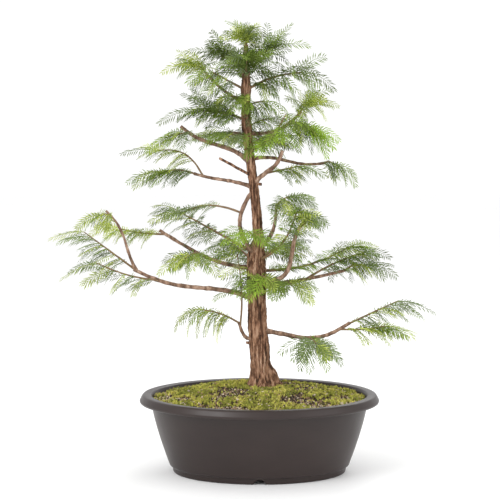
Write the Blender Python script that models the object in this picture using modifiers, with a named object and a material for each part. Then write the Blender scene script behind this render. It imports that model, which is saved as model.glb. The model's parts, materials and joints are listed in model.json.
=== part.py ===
"""Dawn redwood bonsai in an oval training pot.

The plant stands with +Z up, its front towards -Y, on the plane z = 0. The origin is in the middle of the
plant's bounding box, on the surface that the pot stands on. Sizes are named in millimetres and become
metres through MM. Every limb is a straight run bent by a few named sizes, and every mass of foliage
grows from one stem by a seeded rule.
"""
import math
import random
from collections import namedtuple

import bmesh
import bpy
from mathutils import Matrix, Vector
from mathutils.bvhtree import BVHTree

MM = 0.001
UP = Vector((0.0, 0.0, 1.0))
CLEAR = 0.3
MERGE = 0.01
SLIVER = 0.001

# The pot's middle, measured from the origin
POT_X, POT_Y = 19.6, -5.3

# Pot: an oval tray of moulded plastic with a rolled rim and a notched foot
POT_LENGTH, POT_DEPTH, POT_HEIGHT = 305.0, 242.0, 100.0
TURN_STEPS = 32
WALL = 4.5
# Rim sections, each an inset from the pot's outer edge and a drop from its top
RIM_OUTSIDE = ((7.0, 0.0), (4.6, 0.4), (3.0, 2.0), (0.4, 7.0), (0.0, 8.0), (0.9, 11.0))
RIM_INSIDE = ((14.5, 0.5), (16.0, 3.0))
# Body: its insets under the rim and at the foot, and how its wall curves between them
BODY_TOP, BODY_TOP_INSET, BODY_FOOT_INSET, BODY_CURVE, BODY_STEPS = 89.0, 15.0, 38.5, 1.3, 5
INNER_SHARES = (0.05, 0.35, 0.7)
# Foot ring: its inset, how it stands out at its top, its height, width and hollow, and the floor's fillet
FOOT_INSET, FOOT_FLARE, FOOT_HEIGHT, FOOT_WIDTH, FOOT_HOLLOW = 43.5, 3.0, 8.0, 11.0, 5.0
FOOT_CHAMFER, FILLET = 0.9, 3.0
NOTCH_RADIUS, NOTCH_DROP, NOTCH_DEPTH, NOTCH_SIDES = 8.0, 1.5, 18.0, 16

# Soil: below the rim at the wall, mounded to a flat top round the trunk; shares of its radius and rise
SOIL_EDGE, SOIL_TOP, SOIL_GAP = 94.0, 107.0, 2.5
SOIL_MOUND = ((0.45, 1.0), (0.72, 0.42), (0.93, 0.08), (1.0, 0.0))

# Trunk: height above the foot plane, middle in X and Y from the pot's middle, radius
TRUNK_SIDES = 18
TRUNK = (
    (107.3, 3.0, 12.0, 13.5), (122, 2.3, 12.0, 12.6), (152, 0.5, 12.0, 12.6), (192, -3.0, 11.0, 11.8),
    (218, -3.0, 10.0, 11.0), (245, -3.5, 10.0, 12.2), (259, -4.4, 9.0, 11.4), (281, -3.8, 8.0, 9.2),
    (297, -1.5, 8.0, 6.6), (325, -3.0, 7.0, 5.9), (372, -8.3, 5.0, 5.7), (422, -15.0, 3.0, 5.7),
    (446, -16.6, 2.0, 6.1), (472, -17.2, 1.0, 5.4), (484, -17.1, 1.0, 6.6), (497, -17.0, 0.0, 5.0),
    (522, -17.4, 0.0, 4.2), (541, -17.0, 0.0, 2.4),
)
# Root flare: heading in degrees, how far each root stands out at the ground, and its half width
ROOTS = ((352, 17.0, 24), (300, 7.0, 26), (262, 10.0, 24), (205, 6.0, 30), (150, 9.0, 28), (85, 11.0, 30))
FLARE_HEIGHT, FLARE_CURVE = 30.0, 2.6
# Dead stubs fused to the trunk: height, heading, reach, rise, root radius, tip radius
STUB_STEPS = 3
STUBS = ((376, 215, 50, 24, 1.7, 1.3), (160, 190, 17, 4, 2.2, 1.6), (367, 340, 11, -1, 1.8, 1.5))

# A limb leaves its parent at a height (the trunk, mm) or at a share of its length (a bough), runs along a
# heading (degrees, 0 = +X, 90 = +Y) for its reach and rise, and is bent by a hump, a wave and a sway.
Limb = namedtuple("Limb", "name parent at heading reach rise hump wave sway root tip")
LIMBS = (
    Limb("low_left_bough", "trunk", 219, 192, 158, 42, -3, 4, 5, 3.2, 2.1),
    Limb("low_left_fork", "low_left_bough", 0.98, 200, 38, 76, 4, -2, 3, 1.9, 1.3),
    Limb("second_left_bough", "trunk", 259, 166, 128, 46, -11, -1, -5, 2.7, 1.9),
    Limb("left_spur", "trunk", 169, 200, 27, 22, -9, -1, 0, 2.7, 1.8),
    Limb("loop_bough", "trunk", 273, 205, 6, 84, -21, 1, 3, 2.8, 2.4),
    Limb("middle_left_bough", "trunk", 362, 170, 77, 17, 1, 1, 4, 2.6, 1.7),
    Limb("upper_left_bough", "trunk", 395, 178, 88, 44, -1, 3, -5, 3.0, 2.0),
    Limb("top_left_bough", "trunk", 467, 160, 55, 40, -3, 0, 3, 2.3, 1.4),
    Limb("low_right_bough", "trunk", 180, 350, 118, 12, -14, 3, -4, 3.0, 2.0),
    Limb("second_right_bough", "trunk", 236, 12, 118, 18, -3, 0, 5, 2.8, 1.8),
    Limb("steep_right_bough", "trunk", 243, 330, 76, 84, -16, -11, 0, 2.9, 2.3),
    Limb("front_right_bough", "trunk", 284, 315, 35, 57, -9, -1, 3, 2.7, 1.7),
    Limb("middle_right_bough", "trunk", 366, 335, 40, 43, -4, 2, 0, 3.1, 2.2),
    Limb("upper_right_bough", "trunk", 398, 15, 99, -6, 0, 3, 4, 2.3, 1.6),
    Limb("top_right_bough", "trunk", 430, 20, 73, 27, -10, 0, -3, 2.6, 1.8),
)

# A mass is named by where it hangs, and its stem is told in the same way. Its sprays stand from a first
# share of the stem to its tip: how many, how wide they fan (degrees), how long they are, how they lift at
# the root and hang towards the tip, and how far they roll about their own length.
Mass = namedtuple(
    "Mass", "name parent at heading reach rise hump root first sprays fan size lift hang roll seed")
MASSES = (
    # Left side, from the lowest bough upwards
    Mass("far_left", "low_left_bough", 0.97, 187, 66, 50, 0, 1.5, 0.3, 5, 46, 40, -4, 26, 28, 11),
    Mass("far_left_low", "low_left_bough", 0.78, 204, 84, 26, -4, 1.5, 0.1, 4, 40, 42, -10, 22, 40, 12),
    Mass("fork_top", "low_left_fork", 0.86, 200, 16, 4, 3, 1.3, 0.3, 4, 76, 34, 0, 60, 50, 13),
    Mass("second_left_tip", "second_left_bough", 0.93, 176, 60, 7, -2, 1.5, 0.25, 5, 60, 42, 14, 60, 45, 15),
    Mass("second_left_front", "second_left_bough", 0.5, 226, 38, 0, 6, 1.4, 0.2, 5, 70, 42, -4, 46, 50, 16),
    Mass("spur", "left_spur", 0.97, 190, 46, 18, 3, 1.5, 0.3, 5, 60, 44, 2, 88, 55, 17),
    Mass("upright_spur", "left_spur", 0.85, 132, 6, 92, 6, 1.4, 0.6, 4, 40, 40, 10, 46, 35, 18),
    Mass("inner_left", "trunk", 277, 150, 124, 54, 0, 2.3, 0.5, 6, 55, 42, 4, 40, 30, 19),
    Mass("loop", "loop_bough", 0.7, 172, 80, -2, 10, 1.5, 0.45, 4, 48, 40, 6, 38, 30, 20),
    Mass("middle_left", "middle_left_bough", 0.97, 180, 46, 2, 4, 1.4, 0.1, 6, 52, 44, 2, 40, 35, 21),
    Mass("middle_left_top", "middle_left_bough", 0.84, 172, 62, 32, 14, 1.3, 0.4, 4, 50, 38, 4, 30, 30, 22),
    Mass("upper_left", "upper_left_bough", 0.8, 208, 26, 0, 3, 1.3, 0.3, 4, 62, 42, 2, 46, 40, 23),
    Mass("upper_left_back", "trunk", 428, 128, 76, -2, 4, 1.8, 0.4, 4, 50, 42, 6, 40, 30, 24),
    Mass("high_left", "trunk", 446, 190, 64, 12, 5, 2.0, 0.3, 6, 52, 42, 4, 42, 32, 25),
    Mass("top_left", "top_left_bough", 0.97, 168, 18, 12, 2, 1.3, 0.15, 4, 64, 36, 8, 44, 40, 26),
    Mass("top_left_front", "trunk", 484, 212, 48, 22, 0, 1.8, 0.45, 4, 55, 40, 0, 50, 45, 27),
    # Right side, from the lowest bough upwards
    Mass("low_right", "low_right_bough", 0.97, 354, 64, 31, 0, 1.5, 0.2, 6, 50, 42, 0, 32, 32, 31),
    Mass("low_right_front", "low_right_bough", 0.88, 334, 62, 8, -2, 1.4, 0.3, 5, 44, 44, 2, 26, 35, 32),
    Mass("low_right_under", "low_right_bough", 0.5, 300, 30, -6, 4, 1.4, 0.3, 5, 80, 44, -18, 46, 60, 33),
    Mass("second_right", "second_right_bough", 0.97, 8, 28, 6, 4, 1.4, 0.1, 4, 62, 40, 6, 50, 45, 34),
    Mass("second_right_fork", "second_right_bough", 0.55, 22, 82, 32, 3, 1.7, 0.4, 6, 46, 40, 8, 44, 35, 35),
    Mass("second_right_under", "second_right_bough", 0.3, 298, 26, -3, 3, 1.4, 0.3, 4, 88, 44, 4, 46, 50, 36),
    Mass("third_right", "trunk", 256, 26, 138, 26, -10, 2.2, 0.55, 7, 52, 42, 12, 34, 38, 37),
    Mass("steep_right", "steep_right_bough", 0.9, 200, 6, 16, 2, 1.4, 0.3, 4, 66, 38, 14, 60, 45, 38),
    Mass("right_inner", "trunk", 268, 322, 64, 66, -12, 2.2, 0.5, 6, 66, 38, 8, 40, 35, 49),
    Mass("front_right", "front_right_bough", 0.96, 335, 18, 14, 3, 1.3, 0.15, 5, 74, 42, 4, 44, 40, 58),
    Mass("middle_right", "middle_right_bough", 0.36, 10, 44, 9, 0, 1.5, 0.3, 4, 52, 40, 2, 44, 38, 41),
    Mass("upper_right", "upper_right_bough", 0.97, 4, 16, -2, 3, 1.3, 0.1, 4, 66, 38, -10, 62, 50, 42),
    Mass("right_curtain", "top_right_bough", 0.72, 338, 28, -8, 5, 1.4, 0.1, 5, 64, 44, -12, 56, 55, 43),
    Mass("right_spike", "trunk", 409, 325, 56, 46, -8, 2.4, 0.35, 4, 70, 36, -10, 40, 40, 44),
    Mass("top_right", "top_right_bough", 0.97, 12, 14, 14, 2, 1.3, 0.1, 4, 76, 38, 10, 44, 45, 45),
    Mass("high_right", "trunk", 484, 350, 70, 22, 5, 2.0, 0.35, 5, 56, 42, -4, 60, 50, 46),
    # Front and back, which keep the crown full from every side
    Mass("front_upper", "trunk", 288, 252, 42, 22, 4, 1.7, 0.4, 4, 66, 40, 8, 50, 50, 51),
    Mass("front_lower", "trunk", 243, 286, 40, 8, 4, 1.7, 0.4, 5, 72, 42, 0, 50, 50, 52),
    Mass("back_left", "trunk", 262, 112, 88, 22, 3, 2.2, 0.35, 6, 58, 46, 6, 40, 35, 54),
    Mass("back_right", "trunk", 268, 62, 92, 16, 3, 2.2, 0.35, 6, 58, 46, 6, 40, 35, 55),
    Mass("back_high", "trunk", 412, 68, 70, 14, 3, 1.9, 0.35, 6, 58, 44, 8, 40, 35, 56),
    # The top
    Mass("crest_left", "trunk", 510, 178, 38, 20, 3, 1.5, 0.25, 4, 66, 38, 22, 44, 40, 61),
    Mass("crest_right", "trunk", 516, 6, 38, 22, 2, 1.5, 0.25, 4, 66, 38, 22, 40, 40, 62),
    Mass("crest_front", "trunk", 500, 272, 28, 20, 3, 1.5, 0.3, 4, 76, 40, 22, 46, 40, 63),
    Mass("crest_back", "trunk", 493, 101, 39, 24, 2, 1.7, 0.35, 4, 70, 41, 18, 44, 38, 71),
    Mass("crest", "trunk", 540, 60, 3, 14, 0, 1.6, 0.3, 5, 60, 32, 24, 40, 40, 65),
)

# Centre lines have this many steps, and limbs taper by this curve
PATH_STEPS = 8
TAPER_CURVE = 0.8

# Sprays: a stem steeper than this deals them in a spiral, and each one is drawn within these spreads
STEEP, GOLDEN_ANGLE = 55.0, 137.5
TURN_SPREAD, LIFT_SPREAD, ROLL_SPREAD, SIZE_SPREAD = 9.0, 7.0, 18.0, 0.14
STEEPEST_FALL = -88.0
# A spray is a bare twig, then a blade toothed like a comb of needles, widest before its middle
TWIG_SHARE, TWIG_RADIUS = 0.22, 0.8
BLADE_HALF_WIDTH, BLADE_THICKNESS, BLADE_TEETH, BLADE_RIDGE = 11.0, 1.5, 3, 0.6
BLADE_START, BLADE_SPAN, BLADE_FULLNESS = 0.22, 0.62, 0.7
TOOTH_PLACE, TOOTH_LEAN, NOTCH_PLACE, NOTCH_WIDTH = 0.45, 0.42, 0.98, 0.36

COLOURS = {
    "pot": (0.055, 0.038, 0.034, 0.42),
    "soil": (0.240, 0.215, 0.045, 0.95),
    "bark": (0.350, 0.200, 0.120, 0.90),
    "bough": (0.300, 0.200, 0.130, 0.88),
    "foliage": (0.290, 0.360, 0.180, 0.80),
}


# Small helpers

def from_pot(x, y, z):
    """A place measured in mm from the pot's middle, in the plant's frame."""
    return Vector((POT_X + x, POT_Y + y, z))


def heading_vector(degrees):
    """The level direction of a heading."""
    angle = math.radians(degrees)
    return Vector((math.cos(angle), math.sin(angle), 0.0))


def blend(low, high, share):
    """The value a share of the way from low to high."""
    return low + (high - low) * share


def new_material(name):
    """A plain Principled material from the colour table."""
    red, green, blue, roughness = COLOURS[name]
    material = bpy.data.materials.new(name)
    material.use_nodes = True
    shader = material.node_tree.nodes["Principled BSDF"]
    shader.inputs["Base Color"].default_value = (red, green, blue, 1.0)
    shader.inputs["Roughness"].default_value = roughness
    shader.inputs["Metallic"].default_value = 0.0
    return material


def add_object(name, mesh, collection, material=None):
    """A named object for a mesh, in a collection."""
    thing = bpy.data.objects.new(name, mesh)
    collection.objects.link(thing)
    if material is not None:
        mesh.materials.append(material)
    return thing


def make_cutter(thing):
    """Show an object as a wire guide that is left out of renders."""
    thing.display_type = "WIRE"
    thing.hide_render = True


def evaluated_mesh(thing):
    """A free copy of an object's mesh with its modifiers applied."""
    bpy.context.view_layer.update()
    graph = bpy.context.evaluated_depsgraph_get()
    return bpy.data.meshes.new_from_object(thing.evaluated_get(graph))


def apply_modifiers(thing):
    """Replace an object's mesh by what its modifiers make of it."""
    mesh = evaluated_mesh(thing)
    thing.modifiers.clear()
    old = thing.data
    thing.data = mesh
    bpy.data.meshes.remove(old)


def loft_mesh(name, rings):
    """A closed mesh through rings of equal count, in mm, with flat caps."""
    bm = bmesh.new()
    rows = [[bm.verts.new(point * MM) for point in ring] for ring in rings]
    count = len(rows[0])
    for low, high in zip(rows, rows[1:]):
        for i in range(count):
            j = (i + 1) % count
            bm.faces.new((low[i], low[j], high[j], high[i]))
    bm.faces.new(list(reversed(rows[0])))
    bm.faces.new(rows[-1])
    bmesh.ops.recalc_face_normals(bm, faces=bm.faces)
    mesh = bpy.data.meshes.new(name)
    bm.to_mesh(mesh)
    bm.free()
    return mesh


# Centre lines

def trunk_point(height):
    """The trunk's middle at a height, in mm."""
    for low, high in zip(TRUNK, TRUNK[1:]):
        if height <= high[0]:
            share = (height - low[0]) / (high[0] - low[0])
            return from_pot(blend(low[1], high[1], share), blend(low[2], high[2], share), height)
    return from_pot(*TRUNK[-1][1:3], TRUNK[-1][0])


def bent_run(start, limb, sway, wave):
    """Points of a limb: a straight run with a hump and a wave in its upright plane and a sway across it."""
    ahead = heading_vector(limb.heading)
    aside = UP.cross(ahead)
    run = ahead * limb.reach + UP * limb.rise
    over = (UP * limb.reach - ahead * limb.rise).normalized()
    points = []
    for step in range(PATH_STEPS + 1):
        share = step / PATH_STEPS
        arch = math.sin(math.pi * share)
        lift = limb.hump * arch + wave * math.sin(2.0 * math.pi * share)
        points.append(start + run * share + over * lift + aside * (sway * arch))
    return points


def point_on(path, share):
    """The point a share of the way along a path, and the path's direction there."""
    place = min(share, 0.9999) * (len(path) - 1)
    index = int(place)
    step = path[index + 1] - path[index]
    return path[index] + step * (place - index), step.normalized()


def root_point(limb, paths):
    """Where a limb starts: on the trunk's middle line, or on its bough's."""
    if limb.parent == "trunk":
        return trunk_point(limb.at)
    return point_on(paths[limb.parent], limb.at)[0]


def spray_path(start, heading, lift, hang, length):
    """A spray's centre line: it leaves at a heading and a lift, and bends down by its hang."""
    level = heading_vector(heading)
    step = length / PATH_STEPS
    points = [start]
    for index in range(PATH_STEPS):
        angle = math.radians(max(lift - hang * (index + 0.5) / PATH_STEPS, STEEPEST_FALL))
        points.append(points[-1] + (level * math.cos(angle) + UP * math.sin(angle)) * step)
    return points


def grow(mass, stem):
    """The mass's sprays by its seeded rule: each a centre line and a roll in degrees."""
    rng = random.Random(mass.seed)
    steep = math.degrees(math.atan2(mass.rise, max(mass.reach, 1.0))) > STEEP
    sprays = []
    for index in range(mass.sprays):
        share = index / (mass.sprays - 1)
        point, ahead = point_on(stem, blend(mass.first, 1.0, share))
        side = 1.0 if (index + mass.seed) % 2 else -1.0
        if steep:
            heading = mass.heading + GOLDEN_ANGLE * index
        else:
            stem_heading = math.degrees(math.atan2(ahead.y, ahead.x))
            heading = stem_heading + side * mass.fan * (1.0 - share ** 3)
        heading += rng.uniform(-TURN_SPREAD, TURN_SPREAD)
        lift = mass.lift + rng.uniform(-LIFT_SPREAD, LIFT_SPREAD)
        roll = side * mass.roll + rng.uniform(-ROLL_SPREAD, ROLL_SPREAD)
        length = mass.size * (1.0 + rng.uniform(-SIZE_SPREAD, SIZE_SPREAD))
        sprays.append((spray_path(point, heading, lift, mass.hang, length), heading, roll))
    return sprays


# Spray blades

def wedge(point, side, face, half_width, thickness, lean):
    """One three-cornered section of a blade: a ridge over two edges that lean towards the tip."""
    foot = point - face * (thickness * (1.0 - BLADE_RIDGE)) + lean
    return point + face * (thickness * BLADE_RIDGE), foot + side * half_width, foot - side * half_width


def blade_rings(path, heading, roll, swell=0.0):
    """Sections of a spray: a slim twig, then teeth that lean towards the tip."""
    level_side = UP.cross(heading_vector(heading))
    length = sum((b - a).length for a, b in zip(path, path[1:]))
    lean = length * (1.0 - TWIG_SHARE) / BLADE_TEETH * TOOTH_LEAN
    thickness = BLADE_THICKNESS + swell * 2.0

    def section(share, half_width, lean=0.0):
        point, ahead = point_on(path, share)
        side = Matrix.Rotation(math.radians(roll), 3, ahead) @ level_side
        face = ahead.cross(side).normalized()
        return wedge(point, side, face, half_width + swell, thickness, ahead * lean)

    rings = [section(0.0, TWIG_RADIUS), section(TWIG_SHARE, TWIG_RADIUS)]
    for tooth in range(BLADE_TEETH):
        place = (tooth + TOOTH_PLACE) / BLADE_TEETH
        fullness = math.sin(math.pi * (BLADE_START + BLADE_SPAN * place)) ** BLADE_FULLNESS
        width = BLADE_HALF_WIDTH * fullness
        rings.append(section(blend(TWIG_SHARE, 1.0, place), width, lean))
        if tooth < BLADE_TEETH - 1:
            notch = (tooth + NOTCH_PLACE) / BLADE_TEETH
            rings.append(section(blend(TWIG_SHARE, 1.0, notch), width * NOTCH_WIDTH))
    rings.append(section(1.0, TWIG_RADIUS))
    return rings


# Limb solids

def tube_mesh(name, path, root_radius, tip_radius, swell=0.0, resolution=1):
    """A tapering round limb as a closed mesh, swollen all round where a swell is given."""
    head = (path[0] - path[1]).normalized() * swell
    tail = (path[-1] - path[-2]).normalized() * swell
    path = [path[0] + head] + path[1:-1] + [path[-1] + tail]
    curve = bpy.data.curves.new(name, "CURVE")
    curve.dimensions = "3D"
    curve.bevel_depth = 1.0
    curve.bevel_resolution = resolution
    curve.use_fill_caps = True
    spline = curve.splines.new("POLY")
    spline.points.add(len(path) - 1)
    for index, point in enumerate(path):
        share = index / (len(path) - 1)
        spline.points[index].co = (*(point * MM), 1.0)
        spline.points[index].radius = (blend(root_radius, tip_radius, share ** TAPER_CURVE) + swell) * MM
    thing = bpy.data.objects.new(name, curve)
    bpy.context.scene.collection.objects.link(thing)
    mesh = evaluated_mesh(thing)
    mesh.name = name
    bm = bmesh.new()
    bm.from_mesh(mesh)
    bmesh.ops.remove_doubles(bm, verts=bm.verts, dist=MERGE * MM)
    bmesh.ops.recalc_face_normals(bm, faces=bm.faces)
    bm.to_mesh(mesh)
    bm.free()
    bpy.data.objects.remove(thing)
    bpy.data.curves.remove(curve)
    return mesh


def trunk_radius(height, angle, radius):
    """The trunk's radius at an angle, with its roots standing out near the ground."""
    rise = max(0.0, 1.0 - (height - TRUNK[0][0]) / FLARE_HEIGHT)
    flare = 0.0
    for heading, reach, half_width in ROOTS:
        turn = (angle - heading + 180.0) % 360.0 - 180.0
        flare += reach * math.exp(-(turn / half_width) ** 2)
    return radius + flare * rise ** FLARE_CURVE


def trunk_mesh(name, swell=0.0):
    """The whole trunk: a loft from the flared foot, cut flat at the ground, to the tip of the leader."""
    heights = []
    for low, high in zip(TRUNK, TRUNK[1:]):
        heights.append(low[0])
        if low[0] < TRUNK[0][0] + FLARE_HEIGHT:
            heights.append((low[0] + high[0]) / 2.0)
    heights.append(TRUNK[-1][0])
    rings = []
    for height in heights:
        middle = trunk_point(height)
        base = radius_at(height)
        ring = []
        for index in range(TRUNK_SIDES):
            angle = 360.0 * index / TRUNK_SIDES
            reach = trunk_radius(height, angle, base) + swell
            ring.append(middle + heading_vector(angle) * reach)
        rings.append(ring)
    if swell:
        rings[0] = [point - UP * swell for point in rings[0]]
        rings[-1] = [point + UP * swell for point in rings[-1]]
    return loft_mesh(name, rings)


def radius_at(height):
    """The trunk's own radius at a height, without its roots."""
    for low, high in zip(TRUNK, TRUNK[1:]):
        if height <= high[0]:
            return blend(low[3], high[3], (height - low[0]) / (high[0] - low[0]))
    return TRUNK[-1][3]


def cut_by(thing, cutter):
    """Cut a limb by a swollen copy of another, so a fine joint is left between them."""
    cut = thing.modifiers.new("saddle", "BOOLEAN")
    cut.operation = "DIFFERENCE"
    cut.solver = "EXACT"
    cut.object = cutter
    apply_modifiers(thing)
    keep_largest(thing.data)


def cut_clear(thing, parent, cutters):
    """Cut a limb clear of its parent, and of any other limb that its root runs into."""
    cut_by(thing, cutters[parent])
    for name, cutter in cutters.items():
        if name != parent and tree_of(thing.data).overlap(tree_of(cutter.data)):
            cut_by(thing, cutter)


def keep_largest(mesh):
    """Keep a mesh's largest piece: loose scraps and the skins of sealed hollows are dropped."""
    bm = bmesh.new()
    bm.from_mesh(mesh)
    bmesh.ops.dissolve_degenerate(bm, dist=SLIVER * MM, edges=bm.edges)
    left = set(bm.verts)
    pieces = []
    while left:
        seed = left.pop()
        piece = [seed]
        todo = [seed]
        while todo:
            vert = todo.pop()
            for edge in vert.link_edges:
                other = edge.other_vert(vert)
                if other in left:
                    left.remove(other)
                    piece.append(other)
                    todo.append(other)
        pieces.append(piece)
    pieces.sort(key=piece_size, reverse=True)
    for piece in pieces[1:]:
        bmesh.ops.delete(bm, geom=piece, context="VERTS")
    bm.to_mesh(mesh)
    bm.free()


def piece_size(verts):
    """The diagonal of the box round some vertices."""
    low = Vector([min(v.co[axis] for v in verts) for axis in range(3)])
    high = Vector([max(v.co[axis] for v in verts) for axis in range(3)])
    return (high - low).length


# Pot and soil

def oval(mesh):
    """Draw a round turned mesh out along X, so that every wall keeps its thickness."""
    stretch = (POT_LENGTH - POT_DEPTH) / 2.0 * MM
    for vert in mesh.vertices:
        radius = math.hypot(vert.co.x, vert.co.y)
        if radius > MERGE * MM:
            vert.co.x += stretch * vert.co.x / radius


def turned(name, profile, collection, material):
    """Turn a profile of (radius, height) points round Z and draw it out to the pot's oval."""
    mesh = bpy.data.meshes.new(name)
    points = [(radius * MM, 0.0, height * MM) for radius, height in profile]
    mesh.from_pydata(points, [(i, i + 1) for i in range(len(points) - 1)], [])
    thing = add_object(name, mesh, collection, material)
    screw = thing.modifiers.new("turn", "SCREW")
    screw.steps = TURN_STEPS
    screw.render_steps = TURN_STEPS
    screw.use_merge_vertices = True
    screw.merge_threshold = MERGE * MM
    apply_modifiers(thing)
    oval(thing.data)
    return thing


def place_on_foot(thing):
    """Move a turned object's points from the middle of the pot to the pot's place in the plant's frame."""
    for vert in thing.data.vertices:
        vert.co += from_pot(0.0, 0.0, 0.0) * MM


def wall_point(share):
    """A point of the pot's outer wall, from under the rim (0) to the foot (1)."""
    inset = blend(BODY_TOP_INSET, BODY_FOOT_INSET, share ** BODY_CURVE)
    return POT_DEPTH / 2.0 - inset, blend(BODY_TOP, FOOT_HEIGHT, share)


def inner_wall(inset):
    """Points down the pot's inside, set in from its outer wall."""
    return [(radius - inset, height) for radius, height in map(wall_point, INNER_SHARES)]


def pot_profile():
    """The pot's section: up its inside from the middle of the floor, over the rim and down to the foot."""
    outer = POT_DEPTH / 2.0
    foot = outer - FOOT_INSET
    floor = FOOT_HOLLOW + WALL
    inside = [(outer - inset, POT_HEIGHT - drop) for inset, drop in RIM_INSIDE]
    inside += inner_wall(WALL)
    inside += [(foot, floor + FILLET), (foot - FILLET, floor), (0.0, floor)]
    outside = [(outer - inset, POT_HEIGHT - drop) for inset, drop in RIM_OUTSIDE]
    outside += [wall_point(step / BODY_STEPS) for step in range(BODY_STEPS + 1)]
    outside += [(foot + FOOT_FLARE, FOOT_HEIGHT - FOOT_CHAMFER), (foot + FOOT_CHAMFER, FOOT_CHAMFER)]
    outside += [(foot, 0.0), (foot - FOOT_WIDTH, 0.0), (foot - FOOT_WIDTH - FOOT_CHAMFER, FOOT_HOLLOW)]
    outside += [(0.0, FOOT_HOLLOW)]
    return list(reversed(inside)) + outside


def make_pot(collection, guides):
    """The oval pot, with a half-round notch through its foot at the front and at the back."""
    pot = turned("pot", pot_profile(), collection, new_material("pot"))
    reach = POT_DEPTH / 2.0 - FOOT_INSET - FOOT_WIDTH / 2.0
    for name, side in (("front_notch_cutter", -1.0), ("back_notch_cutter", 1.0)):
        ends = [Vector((0.0, side * reach + end * NOTCH_DEPTH / 2.0, -NOTCH_DROP)) for end in (-1.0, 1.0)]
        rings = []
        for end in ends:
            turns = (360.0 * step / NOTCH_SIDES for step in range(NOTCH_SIDES))
            around = [heading_vector(turn) * NOTCH_RADIUS for turn in turns]
            rings.append([end + Vector((spoke.x, 0.0, spoke.y)) for spoke in around])
        notch = add_object(name, loft_mesh(name, rings), guides)
        make_cutter(notch)
        cut = pot.modifiers.new(name, "BOOLEAN")
        cut.operation = "DIFFERENCE"
        cut.solver = "EXACT"
        cut.object = notch
    apply_modifiers(pot)
    place_on_foot(pot)
    return pot


def make_soil(collection):
    """Soil under moss: a mound that fills the pot, just clear of its wall and floor."""
    foot = POT_DEPTH / 2.0 - FOOT_INSET
    floor = FOOT_HOLLOW + WALL + CLEAR
    edge = POT_DEPTH / 2.0 - RIM_INSIDE[-1][0] - SOIL_GAP
    profile = [(0.0, SOIL_TOP)]
    profile += [(edge * share, blend(SOIL_EDGE, SOIL_TOP, rise)) for share, rise in SOIL_MOUND]
    profile += inner_wall(WALL + CLEAR * 2.0)[1:]
    profile += [(foot - CLEAR, floor + FILLET), (foot - FILLET, floor), (0.0, floor)]
    soil = turned("soil", profile, collection, new_material("soil"))
    place_on_foot(soil)
    return soil


# Trunk, boughs and masses

def fuse(thing, pieces):
    """Join a collection of solids onto an object as one body, and remove the collection."""
    join = thing.modifiers.new("join", "BOOLEAN")
    join.operation = "UNION"
    join.solver = "MANIFOLD"
    join.operand_type = "COLLECTION"
    join.collection = pieces
    apply_modifiers(thing)
    keep_largest(thing.data)
    for piece in list(pieces.objects):
        data = piece.data
        bpy.data.objects.remove(piece)
        bpy.data.meshes.remove(data)
    bpy.data.collections.remove(pieces)


def new_pieces(name):
    """A passing collection for solids that are about to be fused."""
    pieces = bpy.data.collections.new(name)
    bpy.context.scene.collection.children.link(pieces)
    return pieces


def add_stubs(thing, name, swell=0.0):
    """Fuse the dead stubs onto the trunk, or onto its swollen copy."""
    pieces = new_pieces(name)
    for index, (height, heading, reach, rise, root, tip) in enumerate(STUBS):
        start = trunk_point(height)
        run = heading_vector(heading) * reach + UP * rise
        path = [start + run * (step / STUB_STEPS) for step in range(STUB_STEPS + 1)]
        add_object("%s_%d" % (name, index), tube_mesh(name, path, root, tip, swell), pieces)
    fuse(thing, pieces)


def make_trunk(collection, guides):
    """The trunk with its dead stubs, and its swollen copy that cuts the limbs' roots."""
    trunk = add_object("trunk", trunk_mesh("trunk"), collection, new_material("bark"))
    add_stubs(trunk, "stub")
    cutter = add_object("trunk_cutter", trunk_mesh("trunk_cutter", CLEAR), guides)
    add_stubs(cutter, "stub_cutter", CLEAR)
    make_cutter(cutter)
    return cutter


def make_boughs(collection, guides, cutters, paths):
    """Every bough as one tapering limb, cut clear of what carries it."""
    material = new_material("bough")
    for limb in LIMBS:
        path = bent_run(root_point(limb, paths), limb, limb.sway, limb.wave)
        paths[limb.name] = path
        mesh = tube_mesh(limb.name, path, limb.root, limb.tip)
        bough = add_object(limb.name, mesh, collection, material)
        cut_clear(bough, limb.parent, cutters)
        swollen = tube_mesh(limb.name + "_cutter", path, limb.root, limb.tip, CLEAR)
        cutters[limb.name] = add_object(limb.name + "_cutter", swollen, guides)
        make_cutter(cutters[limb.name])


def tree_of(mesh):
    """A search tree over a mesh's faces."""
    points = [vert.co for vert in mesh.vertices]
    return BVHTree.FromPolygons(points, [tuple(face.vertices) for face in mesh.polygons])


def make_stems(collection, cutters, paths):
    """The stem of every mass, cut clear of its parent."""
    material = new_material("foliage")
    stems = {}
    for mass in MASSES:
        path = bent_run(root_point(mass, paths), mass, 0.0, 0.0)[::2]
        paths[mass.name] = path
        name = mass.name + "_mass"
        mesh = tube_mesh(name, path, mass.root, TWIG_RADIUS, 0.0, 0)
        stem = add_object(name, mesh, collection, material)
        cut_clear(stem, mass.parent, cutters)
        stems[mass.name] = stem
    return stems


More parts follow.
